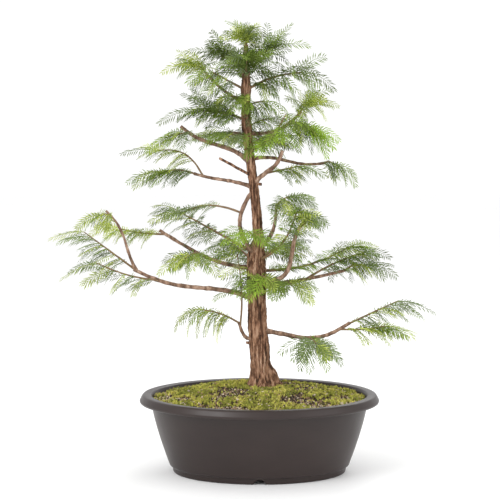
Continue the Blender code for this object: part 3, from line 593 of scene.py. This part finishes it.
def soften(profile):
    """Round a profile's corners by cutting them."""
    for share in CORNER_CUTS:
        cut = [profile[0]]
        for (ax, az), (bx, bz) in zip(profile, profile[1:]):
            for place in (share, 1.0 - share):
                cut.append((blend(ax, bx, place), blend(az, bz, place)))
        cut.append(profile[-1])
        profile = cut
    return profile


def in_oval(edge, share, turn):
    """The place at a share of an oval's radius and at a turn."""
    return (edge + POT_STRETCH) * share * math.cos(turn), edge * share * math.sin(turn)


def inner_radius(gap):
    """The radius inside the pot's rim, less a gap."""
    return POT_DEPTH / 2.0 - RIM_INSIDE[-1][0] - gap


def pot_profile():
    """The pot's section, from its floor over the rim and down to the foot's hollow."""
    outer = POT_DEPTH / 2.0
    foot = outer - FOOT_INSET
    floor = FOOT_HOLLOW + WALL
    inside = [(outer - inset, POT_HEIGHT - drop) for inset, drop in RIM_INSIDE]
    inside += [(radius - WALL, height) for radius, height in map(wall_point, INNER_SHARES)]
    inside += [(foot, floor + FILLET), (foot - FILLET, floor), (CENTRE_RADIUS, floor)]
    outside = [(outer - inset, POT_HEIGHT - drop) for inset, drop in RIM_OUTSIDE]
    outside += [wall_point(step / OUTER_STEPS) for step in range(OUTER_STEPS)]
    wall_end, wall_foot = wall_point(1.0)
    outside += [(wall_end + STEP_OUT, wall_foot + STEP_UP)]
    outside += [(foot + FOOT_FLARE + FOOT_LIP, FOOT_HEIGHT + FOOT_LIP)]
    outside += [(foot + FOOT_FLARE - FOOT_BACK, FOOT_HEIGHT - FOOT_FALL)]
    outside += [(foot + FOOT_ROUNDING, FOOT_ROUNDING), (foot, 0.0), (foot - FOOT_WIDTH, 0.0)]
    outside += [(foot - FOOT_WIDTH - FOOT_CHAMFER, FOOT_HOLLOW), (CENTRE_RADIUS, FOOT_HOLLOW)]
    return soften(list(reversed(inside)) + outside)


def notch_cutter(side, material):
    """A level rod through the foot ring, at the front (-1) or at the back (1)."""
    middle_y = side * (POT_DEPTH / 2.0 - FOOT_INSET - FOOT_WIDTH / 2.0)
    rings = []
    for end in (-NOTCH_DEPTH / 2.0, NOTCH_DEPTH / 2.0):
        middle = from_pot(0.0, middle_y + end, -NOTCH_DROP)
        spokes = [Vector((math.cos(turn), 0.0, math.sin(turn))) for turn in turns_of(NOTCH_AROUND)]
        rings.append([middle + spoke * NOTCH_RADIUS for spoke in spokes])
    build = Build()
    build.loft(rings)
    return build.piece("cutter", material, "pot", closed=True)


def cut_out(thing, cutter):
    """Cut one piece out of another, and remove the cutter."""
    cut = thing.modifiers.new("cut", "BOOLEAN")
    cut.operation = "DIFFERENCE"
    cut.solver = "EXACT"
    cut.object = cutter
    bpy.context.view_layer.update()
    graph = bpy.context.evaluated_depsgraph_get()
    mesh = bpy.data.meshes.new_from_object(thing.evaluated_get(graph))
    thing.modifiers.clear()
    thing.data = mesh
    bpy.data.objects.remove(cutter)


def make_pot():
    """The moulded pot: a smooth oval lathe with its notches cut through the foot."""
    rings = []
    for radius, height in pot_profile():
        rings.append([from_pot(*in_oval(radius, 1.0, turn), height) for turn in turns_of(POT_AROUND)])
    build = Build()
    build.loft(rings)
    material = pot_plastic()
    pot = build.piece("oval_pot", material, "pot", closed=True)
    for side in (-1.0, 1.0):
        cut_out(pot, notch_cutter(side, material))
    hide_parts("pot")


# Soil, moss and grit

def soil_height(x, y):
    """The soil's height at a place, and that place's share of the soil's radius."""
    edge = inner_radius(SOIL_GAP)
    share = math.hypot(x / (edge + POT_STRETCH), y / edge)
    rise = 0.0
    for (a, high), (b, low) in zip(SOIL_MOUND, SOIL_MOUND[1:]):
        if share <= b:
            rise = blend(high, low, (share - a) / (b - a))
            break
    return blend(SOIL_EDGE, SOIL_TOP, rise), share


def bare_soil(x, y):
    """How bare of moss a place is: over 0 shows soil."""
    bare = noise.fractal(Vector((x * PATCH_SCALE_X, y * PATCH_SCALE_Y, PATCH_LAYER)), *PATCH_FRACTAL)
    for spot_x, spot_y, size in BARE_SPOTS:
        bare += SPOT_STRENGTH * math.exp(-((x - spot_x) ** 2 + (y - spot_y) ** 2) / size ** 2)
    return bare - PATCH_LEVEL + max(0.0, soil_height(x, y)[1] - RING_START) * RING_STRENGTH


def ground_point(x, y):
    """A point on the lumpy ground."""
    height, share = soil_height(x, y)
    lump = noise.fractal(Vector((x * LUMP_SCALE, y * LUMP_SCALE, 1.0)), *LUMP_FRACTAL)
    rise = lump * LUMP_HEIGHT * min(1.0, (LUMP_END - share) * LUMP_FADE)
    grain = noise.noise(Vector((x * GRAIN_SCALE, y * GRAIN_SCALE, 5.0))) * GRAIN_HEIGHT
    bed = MOSS_BED if bare_soil(x, y) < 0.0 else 0.0
    return from_pot(x, y, height + rise + grain + bed - MOSS_BED)


def make_ground():
    """The soil's surface, with a skirt that closes it to the pot's wall."""
    edge = inner_radius(GROUND_GAP)
    rings = []
    for row in range(GROUND_ROWS):
        share = 1.0 - row / (GROUND_ROWS - 1) * GROUND_SPAN
        rings.append([ground_point(*in_oval(edge, share, turn)) for turn in turns_of(GROUND_AROUND)])
    middle = from_pot(0.0, 0.0, 0.0)
    skirt = []
    for x, y, z in rings[0]:
        place = blend(x, middle.x, SKIRT_DRAW), blend(y, middle.y, SKIRT_DRAW), z - SKIRT_DROP
        skirt.append(Vector(place))
    build = Build()
    build.loft([skirt] + rings)
    ground = build.piece("soil_ground", mottled("damp_soil", SOIL_FINISH), "soil")
    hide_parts("soil")


def add_shoot(build, root, height, rng):
    """A moss shoot: leafy blades that stand round it."""
    lean = scatter_vector(rng, MOSS_LEAN)
    for _ in range(MOSS_BLADES):
        spin = rng.uniform(0.0, FULL_TURN)
        out = Vector((math.cos(spin), math.sin(spin), 0.0))
        across = Vector((-out.y, out.x, 0.0)) * rng.uniform(*BLADE_HALF_WIDTH)
        tip = root + UP * height * rng.uniform(*BLADE_HEIGHT) + out * rng.uniform(*BLADE_REACH) + lean
        belly = root + UP * height * BELLY_HEIGHT + out * BELLY_REACH
        build.add([root - UP * BLADE_ROOT, belly - across, tip, belly + across], [(0, 1, 2), (0, 2, 3)])


def make_moss():
    """Moss: upright leafy shoots in cushions, thinner where the soil is bare."""
    rng = random.Random(MOSS_SEED)
    bright, green, deep = Build(), Build(), Build()
    for _ in range(MOSS_COUNT):
        turn = rng.uniform(0.0, FULL_TURN)
        x, y = in_oval(inner_radius(MOSS_GAP), math.sqrt(rng.random()), turn)
        keep = MOSS_ON_BARE if bare_soil(x, y) > 0.0 else 1.0
        if rng.random() > keep:
            continue
        height = rng.uniform(*MOSS_HEIGHT)
        tint = noise.noise(Vector((x * TINT_SCALE, y * TINT_SCALE, TINT_LAYER)))
        tint += rng.uniform(-TINT_SPREAD, TINT_SPREAD)
        kind = bright if tint > TINT_BRIGHT else green if tint > TINT_DEEP else deep
        add_shoot(kind, ground_point(x, y), height, rng)
    tinted_pieces((bright, green, deep), MOSS_COLOURS, MOSS_FINISH, "soil")


def unit_ball():
    """Corners and faces of a coarse ball."""
    bm = bmesh.new()
    bmesh.ops.create_icosphere(bm, subdivisions=1, radius=1.0)
    corners = [vert.co.copy() for vert in bm.verts]
    faces = [tuple(vert.index for vert in face.verts) for face in bm.faces]
    bm.free()
    return corners, faces


def make_grit():
    """Grit: small broken grains, pale by the wall and dark in the bare patches."""
    rng = random.Random(GRIT_SEED)
    pale, tan, dark = Build(), Build(), Build()
    ball, faces = unit_ball()
    for _ in range(GRIT_COUNT):
        turn = rng.uniform(0.0, FULL_TURN)
        share = rng.random() ** GRIT_CROWDING
        x, y = in_oval(inner_radius(GRIT_GAP), share, turn)
        mossy = bare_soil(x, y) < GRIT_MOSS_LEVEL
        if mossy and rng.random() > GRIT_IN_MOSS:
            continue
        size = rng.uniform(*GRIT_SIZE)
        shape = Vector([rng.uniform(*span) for span in (GRIT_WIDE, GRIT_WIDE, GRIT_TALL)]) * size
        spin = Matrix.Rotation(rng.uniform(0.0, GRIT_SPIN), 3, "Z")
        spin = spin @ Matrix.Rotation(rng.uniform(0.0, GRIT_TIP), 3, "X")
        centre = ground_point(x, y) + UP * size * (LIFT_ON_MOSS if mossy else LIFT_ON_SOIL)
        corners = [centre + spin @ (corner * shape) * rng.uniform(*GRIT_CORNER) for corner in ball]
        pale_share = PALE_BY_WALL if share > RING_START else PALE_ELSEWHERE
        pick = rng.random()
        kind = pale if pick < pale_share else tan if pick < pale_share + TAN_SHARE else dark
        kind.add(corners, faces)
    tinted_pieces((pale, tan, dark), GRIT_COLOURS, GRIT_FINISH, "soil", smooth=False)


# Bark

TRUNK_AROUND, TRUNK_ROWS = 112, 420
# The trunk's mesh starts this far below its foot, in the soil
TRUNK_BURIED = 3.0
# Layers of bark: cells round the trunk and per mm of height, the fractal, and the depth in mm
Layer = namedtuple("Layer", "cells rows fractal depth")
RIDGES = Layer(3.2, 0.028, (0.8, 2.1, 4), 0.6)
FLAKES = Layer(5.0, 0.16, (0.8, 2.0, 4), 0.75)
LUMPS = Layer(1.3, 0.045, None, 0.8)
CRACKS = Layer(7.5, 0.05, (0.7, 2.2, 5), 2.4)
RIDGE_FINENESS, RIDGE_SHARPNESS = 2.1, 2.2
# Bark is rougher where boughs crowd the trunk, and shallower where the trunk is thin
ROUGH_HEIGHT, ROUGH_SPAN, ROUGH_EXTRA = 262.0, 26.0, 1.3
FULL_RELIEF_RADIUS = 9.0
# Root knob
KNOB_HEIGHT, KNOB_HALF_HEIGHT, KNOB_HEADING, KNOB_HALF_WIDTH, KNOB_REACH = 124.0, 9.0, 356.0, 30.0, 6.5
# Stubs, a little stouter than the solids
STUB_STEPS, STUB_SIDES, STUB_STOUTNESS, STUB_RELIEF, STUB_SEED = 12, 14, 1.1, 0.35, 3.1
# Boughs: their tubes, the knots along them and the collar at the root
BOUGH_POINTS, BOUGH_SIDES, BOUGH_RELIEF, BOUGH_SEED = 56, 16, 0.22, 7.7
KNOT_SWELL, KNOT_CELLS, KNOT_SEED, KNOT_CURVE, KNOT_LAYER = 0.25, 14.0, 4.3, 0.8, 2.0
COLLAR_SWELL, COLLAR_LENGTH = 0.55, 0.1


def flare_at(height, angle):
    """How far the roots stand out at a height and an angle."""
    rise = max(0.0, 1.0 - (height - TRUNK[0][0]) / FLARE_HEIGHT)
    flare = 0.0
    for heading, reach, half_width in ROOTS:
        flare += reach * math.exp(-(turn_between(angle, heading) / half_width) ** 2)
    return flare * rise ** FLARE_CURVE


def layer_place(layer, around, height):
    """A place on the trunk in the noise of one layer of its bark."""
    return Vector((around.x * layer.cells, around.y * layer.cells, height * layer.rows))


def bark_relief(height, angle, radius):
    """The bark's fibrous ridges and its root knob, in mm."""
    around = heading_vector(angle)
    fibre = noise.fractal(layer_place(RIDGES, around, height) * RIDGE_FINENESS, *RIDGES.fractal)
    ridge = 1.0 - abs(fibre) * RIDGE_SHARPNESS
    flake = noise.fractal(layer_place(FLAKES, around, height), *FLAKES.fractal)
    lump = noise.noise(layer_place(LUMPS, around, height))
    crack = max(0.0, noise.fractal(layer_place(CRACKS, around, height), *CRACKS.fractal))
    relief = ridge * RIDGES.depth + flake * FLAKES.depth + lump * LUMPS.depth - crack * CRACKS.depth
    rough = 1.0 + ROUGH_EXTRA * math.exp(-((height - ROUGH_HEIGHT) / ROUGH_SPAN) ** 2)
    across = math.exp(-(turn_between(angle, KNOB_HEADING) / KNOB_HALF_WIDTH) ** 2)
    knob = math.exp(-((height - KNOB_HEIGHT) / KNOB_HALF_HEIGHT) ** 2) * (KNOB_REACH * across)
    return relief * min(1.0, radius / FULL_RELIEF_RADIUS) * rough + knob


def make_trunk():
    """The trunk and its stubs, with real relief."""
    build = Build()
    rings = []
    foot, top = TRUNK[0][0], TRUNK[-1][0]
    for row in range(TRUNK_ROWS + 1):
        height = blend(foot - TRUNK_BURIED, top, row / TRUNK_ROWS)
        x, y, radius = trunk_station(max(height, foot))
        middle = from_pot(x, y, height)
        ring = []
        for step in range(TRUNK_AROUND):
            angle = 360.0 * step / TRUNK_AROUND
            reach = radius + flare_at(height, angle) + bark_relief(height, angle, radius)
            ring.append(middle + heading_vector(angle) * reach)
        rings.append(ring)
    build.loft(rings)
    shares = [step / STUB_STEPS for step in range(STUB_STEPS + 1)]
    for index, (height, heading, reach, rise, root, tip) in enumerate(STUBS):
        run = heading_vector(heading) * reach + UP * rise
        path = [trunk_point(height) + run * share for share in shares]
        radii = [blend(root, tip, share) * STUB_STOUTNESS for share in shares]
        build.loft(tube_rings(path, radii, STUB_SIDES, STUB_RELIEF, index * STUB_SEED))
    trunk = build.piece("bark_trunk", mottled("bark", BARK_FINISH), "bark")
    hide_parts("trunk")


def make_boughs(paths):
    """Every bough, with knots, a collar at its root and relief, joined as one piece."""
    build = Build()
    for index, limb in enumerate(LIMBS):
        radii = []
        for step in range(BOUGH_POINTS):
            share = step / (BOUGH_POINTS - 1)
            swell = noise.noise(Vector((share * KNOT_CELLS, index * KNOT_SEED, KNOT_LAYER)))
            knot = KNOT_SWELL * max(0.0, swell) ** KNOT_CURVE
            collar = COLLAR_SWELL * math.exp(-(share / COLLAR_LENGTH) ** 2)
            radii.append(blend(limb.root, limb.tip, share ** TAPER_CURVE) * (1.0 + knot + collar))
        path = resample(paths[limb.name], BOUGH_POINTS)
        build.loft(tube_rings(path, radii, BOUGH_SIDES, BOUGH_RELIEF, index * BOUGH_SEED))
    boughs = build.piece("bark_boughs", mottled("bough_bark", BOUGH_FINISH), "bough")
    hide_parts(*[limb.name for limb in LIMBS])


# Foliage

# A spray's shoot: its points, sides and radii
SHOOT_POINTS, SHOOT_SIDES, SHOOT_ROOT, SHOOT_TIP = 14, 4, 0.55, 0.22
# Needles fill the shoot's leafy share at this gap, with a least count
BARE_SHARE, LEAFY_SHARE, NEEDLE_GAP, FEWEST_NEEDLES = 0.07, 0.93, 3.0, 5
# A needle's greatest length, its width and draws about its length; the spray's outline
NEEDLE_LENGTH, NEEDLE_WIDTH, NEEDLE_DRAW = 12.5, 1.35, (0.82, 1.12)
OUTLINE_START, OUTLINE_SPAN, OUTLINE_CURVE = 0.16, 0.7, 0.75
# Its angle to the shoot, how that closes towards the tip, and its spread in degrees
NEEDLE_ANGLE, NEEDLE_CLOSING, NEEDLE_SPREAD = 60.0, 26.0, 9.0
# How needles droop and leave the spray's plane, how their roots scatter, and how they are creased
NEEDLE_DROOP, NEEDLE_LIFT, ROOT_SCATTER, CREASE = (0.1, 0.34), (-0.1, 0.16), 0.15, 0.22
BELLY_PLACE, BELLY_SAG = 0.5, 0.25
PALETTE = (
    ("needles_blue_green", (0.19, 0.252, 0.098)),
    ("needles_green", (0.19, 0.28, 0.036)),
    ("needles_pale", (0.355, 0.43, 0.072)),
    ("needles_deep", (0.09, 0.132, 0.018)),
    ("needles_bright", (0.27, 0.415, 0.036)),
    ("needles_young", (0.505, 0.58, 0.115)),
)
BLUE_GREEN, GREEN, PALE, DEEP, BRIGHT, YOUNG = range(len(PALETTE))
# Greens that a mass deals to its sprays, each up to its limit of a draw from 0 to 1
MOSTLY_BLUE = ((BLUE_GREEN, 0.62), (GREEN, 0.8), (PALE, 0.92), (YOUNG, 1.0))
MOSTLY_LIGHT = ((PALE, 0.5), (GREEN, 0.72), (YOUNG, 0.9), (BLUE_GREEN, 1.0))
MOSTLY_DARK = ((DEEP, 0.42), (GREEN, 0.74), (BLUE_GREEN, 0.88), (PALE, 1.0))
MOSTLY_BRIGHT = ((BRIGHT, 0.46), (GREEN, 0.7), (PALE, 0.86), (DEEP, 1.0))
MIXED = ((GREEN, 0.42), (BLUE_GREEN, 0.66), (PALE, 0.84), (DEEP, 0.94), (YOUNG, 1.0))
SHADE_GROUPS = (
    (MOSTLY_BLUE, ("far_left", "far_left_low", "inner_left", "middle_left", "loop", "low_right",
                   "low_right_under", "front_right")),
    (MOSTLY_LIGHT, ("fork_top", "second_left_tip", "middle_left_top", "spur", "low_right_front", "crest",
                    "top_left", "top_right")),
    (MOSTLY_DARK, ("crest_left", "crest_right", "crest_front", "crest_back", "high_left", "high_right",
                   "second_right")),
    (MOSTLY_BRIGHT, ("right_curtain", "right_spike", "front_upper", "front_lower", "third_right")),
)
MASS_SHADES = {name: shades for shades, names in SHADE_GROUPS for name in names}
# Finer sprays for each gap between a mass's own: most masses take the first count
EXTRA_PER_GAP, EXTRA_ENDS = 4, 2
DENSITY = {
    "crest_left": 9, "crest_right": 9, "crest_front": 9, "crest_back": 9, "crest": 10,
    "high_left": 8, "top_left": 8, "high_right": 8, "top_right": 8, "third_right": 5,
    "right_curtain": 8, "right_spike": 7, "second_right": 5, "front_upper": 2, "front_lower": 2,
}
# They start near the stem's root where a density is given, else just before the mass's own sprays
INNER_START, START_EARLIER, EARLIEST_START = 0.1, 0.12, 0.06
# The crown's masses throw theirs every way
CROWN = tuple(name for name in DENSITY if name.startswith(("crest", "high", "top")))
CROWN_SCATTER, CROWN_LIFT = 85.0, (-0.1, 0.6)
# Their draws: place between neighbours, fan, lift, roll, length, hang and the needles' size
PLACE_DRAW, FAN_DRAW, LIFT_DRAW, ROLL_DRAW = (0.2, 0.8), (0.7, 1.25), (-16.0, 22.0), (0.4, 1.2)
LENGTH_DRAW, HANG_DRAW, SIZE_DRAW = (0.55, 1.0), (0.7, 1.3), (0.85, 1.08)
EXTRA_FAN_CURVE, EXTRA_SPIRAL_START, MASS_SEED = 4, 60.0, 9000
# Stems: points, sides, tip radius and relief
STEM_POINTS, STEM_SIDES, STEM_TIP, STEM_RELIEF = 24, 8, 0.6, 0.2
# A spray is left out if its tip is further than this past the solids' box, or lower than this
SPILL, LOWEST_TIP = 4.0, 112.0


def is_steep(mass):
    """Whether a mass's stem stands so steeply that its sprays go round it."""
    return math.degrees(math.atan2(mass.rise, max(mass.reach, 1.0))) > STEEP


def level_heading(ahead):
    """The heading of a direction, in degrees."""
    return math.degrees(math.atan2(ahead.y, ahead.x))


def own_sprays(mass, stem):
    """The sprays that the solids have too: each a centre line, a heading and a roll in degrees."""
    rng = random.Random(mass.seed)
    sprays = []
    for index in range(mass.sprays):
        share = index / (mass.sprays - 1)
        point, ahead = point_on(stem, blend(mass.first, 1.0, share))
        side = 1.0 if (index + mass.seed) % 2 else -1.0
        if is_steep(mass):
            heading = mass.heading + GOLDEN_ANGLE * index
        else:
            heading = level_heading(ahead) + side * mass.fan * (1.0 - share ** FAN_CURVE)
        heading += rng.uniform(-TURN_SPREAD, TURN_SPREAD)
        lift = mass.lift + rng.uniform(-LIFT_SPREAD, LIFT_SPREAD)
        roll = side * mass.roll + rng.uniform(-ROLL_SPREAD, ROLL_SPREAD)
        length = mass.size * (1.0 + rng.uniform(-SIZE_SPREAD, SIZE_SPREAD))
        sprays.append((spray_path(point, heading, lift, mass.hang, length), heading, roll))
    return sprays


def extra_sprays(mass, stem, rng):
    """Finer sprays between a mass's own, by the same rule with wider draws."""
    start = INNER_START if mass.name in DENSITY else max(mass.first - START_EARLIER, EARLIEST_START)
    count = (mass.sprays - 1) * DENSITY.get(mass.name, EXTRA_PER_GAP) + EXTRA_ENDS
    sprays = []
    for index in range(count):
        share = (index + rng.uniform(*PLACE_DRAW)) / count
        point, ahead = point_on(stem, blend(start, 1.0, share))
        side = 1.0 if index % 2 else -1.0
        if is_steep(mass):
            heading = mass.heading + GOLDEN_ANGLE * index + EXTRA_SPIRAL_START
        else:
            fan = side * mass.fan * rng.uniform(*FAN_DRAW)
            heading = level_heading(ahead) + fan * (1.0 - share ** EXTRA_FAN_CURVE)
        lift = mass.lift + rng.uniform(*LIFT_DRAW)
        if mass.name in CROWN:
            heading += rng.uniform(-CROWN_SCATTER, CROWN_SCATTER)
            lift += rng.uniform(*CROWN_LIFT) * CROWN_SCATTER
        roll = side * mass.roll * rng.uniform(*ROLL_DRAW) + rng.uniform(-ROLL_SPREAD, ROLL_SPREAD)
        length = mass.size * rng.uniform(*LENGTH_DRAW)
        hang = mass.hang * rng.uniform(*HANG_DRAW)
        sprays.append((spray_path(point, heading, lift, hang, length), heading, roll))
    return sprays


def add_spray(build, path, heading, roll, rng, size):
    """A spray: a thin green shoot with two ranks of needles that lean to its tip and droop."""
    level_side = UP.cross(heading_vector(heading))
    length = sum((b - a).length for a, b in zip(path, path[1:]))
    shoot = resample(path, SHOOT_POINTS)
    build.loft(tube_rings(shoot, taper(SHOOT_ROOT, SHOOT_TIP, SHOOT_POINTS), SHOOT_SIDES))
    count = max(FEWEST_NEEDLES, int(length * LEAFY_SHARE / NEEDLE_GAP))
    droop = rng.uniform(*NEEDLE_DROOP)
    for index in range(count + 1):
        share = BARE_SHARE + LEAFY_SHARE * index / count
        point, ahead = point_on(shoot, share)
        across = Matrix.Rotation(math.radians(roll), 3, ahead) @ level_side
        across = (across - ahead * across.dot(ahead)).normalized()
        face = ahead.cross(across).normalized()
        outline = math.sin(math.pi * (OUTLINE_START + OUTLINE_SPAN * share)) ** OUTLINE_CURVE
        reach = NEEDLE_LENGTH * size * outline
        sag = UP * (-reach * droop)
        crease = face * CREASE
        for side in (-1.0, 1.0):
            closing = NEEDLE_CLOSING * share ** 3
            angle = math.radians(NEEDLE_ANGLE - closing + rng.uniform(-NEEDLE_SPREAD, NEEDLE_SPREAD))
            run = ahead * math.cos(angle) + across * (side * math.sin(angle))
            run = (run + face * rng.uniform(*NEEDLE_LIFT)).normalized() * (reach * rng.uniform(*NEEDLE_DRAW))
            wide = run.cross(face).normalized() * NEEDLE_WIDTH * 0.5
            root = point + scatter_vector(rng, ROOT_SCATTER)
            belly = root + run * BELLY_PLACE + sag * BELLY_SAG
            tip = root + run + sag
            build.add([root, belly - wide - crease, tip, belly + wide - crease], [(0, 1, 2), (0, 2, 3)])


def make_foliage(paths):
    """Every mass: its stem, and its sprays dealt to one piece for each green."""
    greens = [Build() for _ in PALETTE]
    twigs = Build()
    low = Vector(cad_box[0]) / MM - Vector((SPILL, SPILL, 0.0))
    high = Vector(cad_box[1]) / MM + Vector((SPILL, SPILL, SPILL))
    low.z = LOWEST_TIP
    for mass in MASSES + INNER:
        stem = paths[mass.name]
        rng = random.Random(MASS_SEED + mass.seed)
        radii = taper(mass.root, STEM_TIP, STEM_POINTS)
        twigs.loft(tube_rings(resample(stem, STEM_POINTS), radii, STEM_SIDES, STEM_RELIEF, mass.seed))
        for path, heading, roll in own_sprays(mass, stem) + extra_sprays(mass, stem, rng):
            if all(low[axis] < path[-1][axis] < high[axis] for axis in range(3)):
                draw = rng.random()
                shade = next(shade for shade, limit in MASS_SHADES.get(mass.name, MIXED) if draw < limit)
                add_spray(greens[shade], path, heading, roll, rng, rng.uniform(*SIZE_DRAW))
    tinted_pieces(greens, PALETTE, NEEDLE_FINISH, "foliage", smooth=False)
    stems = twigs.piece("twigs", mottled("twig_skin", TWIG_FINISH), "foliage")
    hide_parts(*[mass.name + "_mass" for mass in MASSES])


# Stage

# The photo's camera: its distance to the pot, height, tilt down in degrees and place to the side
CAMERA_AWAY, CAMERA_HEIGHT, CAMERA_TILT, CAMERA_ASIDE = 2000.0, 470.7, 5.354, -12.0
# Its focal length and the photo's width in pixels, its sensor in mm and how far it sees in metres
FOCAL_PIXELS, FRAME_PIXELS, SENSOR, CAMERA_REACH = 1590.0, 500.0, 36.0, 50.0
# The floor's half width in metres, and the strength of the white surround
FLOOR_REACH, SURROUND = 6.0, 1.07
# Lights: name, place and aim in metres, size and power
LIGHTS = (
    ("key", (-1.1, -1.3, 1.5), (0.0, 0.0, 0.25), 0.9, 16.0),
    ("fill", (1.4, -0.9, 0.9), (0.0, 0.0, 0.25), 1.2, 5.0),
    ("rim", (0.5, 1.3, 1.4), (0.0, 0.0, 0.3), 0.9, 8.0),
)


def area_light(name, place, target, size, power):
    """A soft square light aimed at a point."""
    data = bpy.data.lights.new(name, "AREA")
    data.shape = "SQUARE"
    data.size = size
    data.energy = power
    light = new_object(name, data)
    light.location = place
    light.rotation_euler = (Vector(target) - Vector(place)).to_track_quat("-Z", "Y").to_euler()


def make_floor():
    """A wide pale floor."""
    corners = [(x * FLOOR_REACH, y * FLOOR_REACH, 0.0) for x, y in ((-1, -1), (1, -1), (1, 1), (-1, 1))]
    mesh = bpy.data.meshes.new("floor")
    mesh.from_pydata(corners, [], [(0, 1, 2, 3)])
    mesh.materials.append(mottled("floor_paper", FLOOR_FINISH))
    new_object("floor", mesh)


def make_surround():
    """White light from all round."""
    world = bpy.data.worlds.new("surround")
    world.use_nodes = True
    set_inputs(world.node_tree.nodes["Background"], {"Color": (1.0, 1.0, 1.0, 1.0), "Strength": SURROUND})
    bpy.context.scene.world = world


def make_camera():
    """The camera at the photo's angle."""
    lens = bpy.data.cameras.new("camera")
    lens.sensor_width = SENSOR
    lens.lens = FOCAL_PIXELS / FRAME_PIXELS * SENSOR
    lens.clip_end = CAMERA_REACH
    camera = new_object("camera", lens)
    camera.location = from_pot(CAMERA_ASIDE, -CAMERA_AWAY, CAMERA_HEIGHT) * MM
    camera.rotation_euler = (math.radians(90.0 - CAMERA_TILT), 0.0, 0.0)
    bpy.context.scene.camera = camera
    bpy.context.scene.view_settings.view_transform = "Standard"


def main():
    """Stage first, then the plant from its pot upwards."""
    make_floor()
    make_surround()
    for light in LIGHTS:
        area_light(*light)
    make_camera()
    paths = limb_paths()
    make_pot()
    make_ground()
    make_moss()
    make_grit()
    make_trunk()
    make_boughs(paths)
    make_foliage(paths)


main()
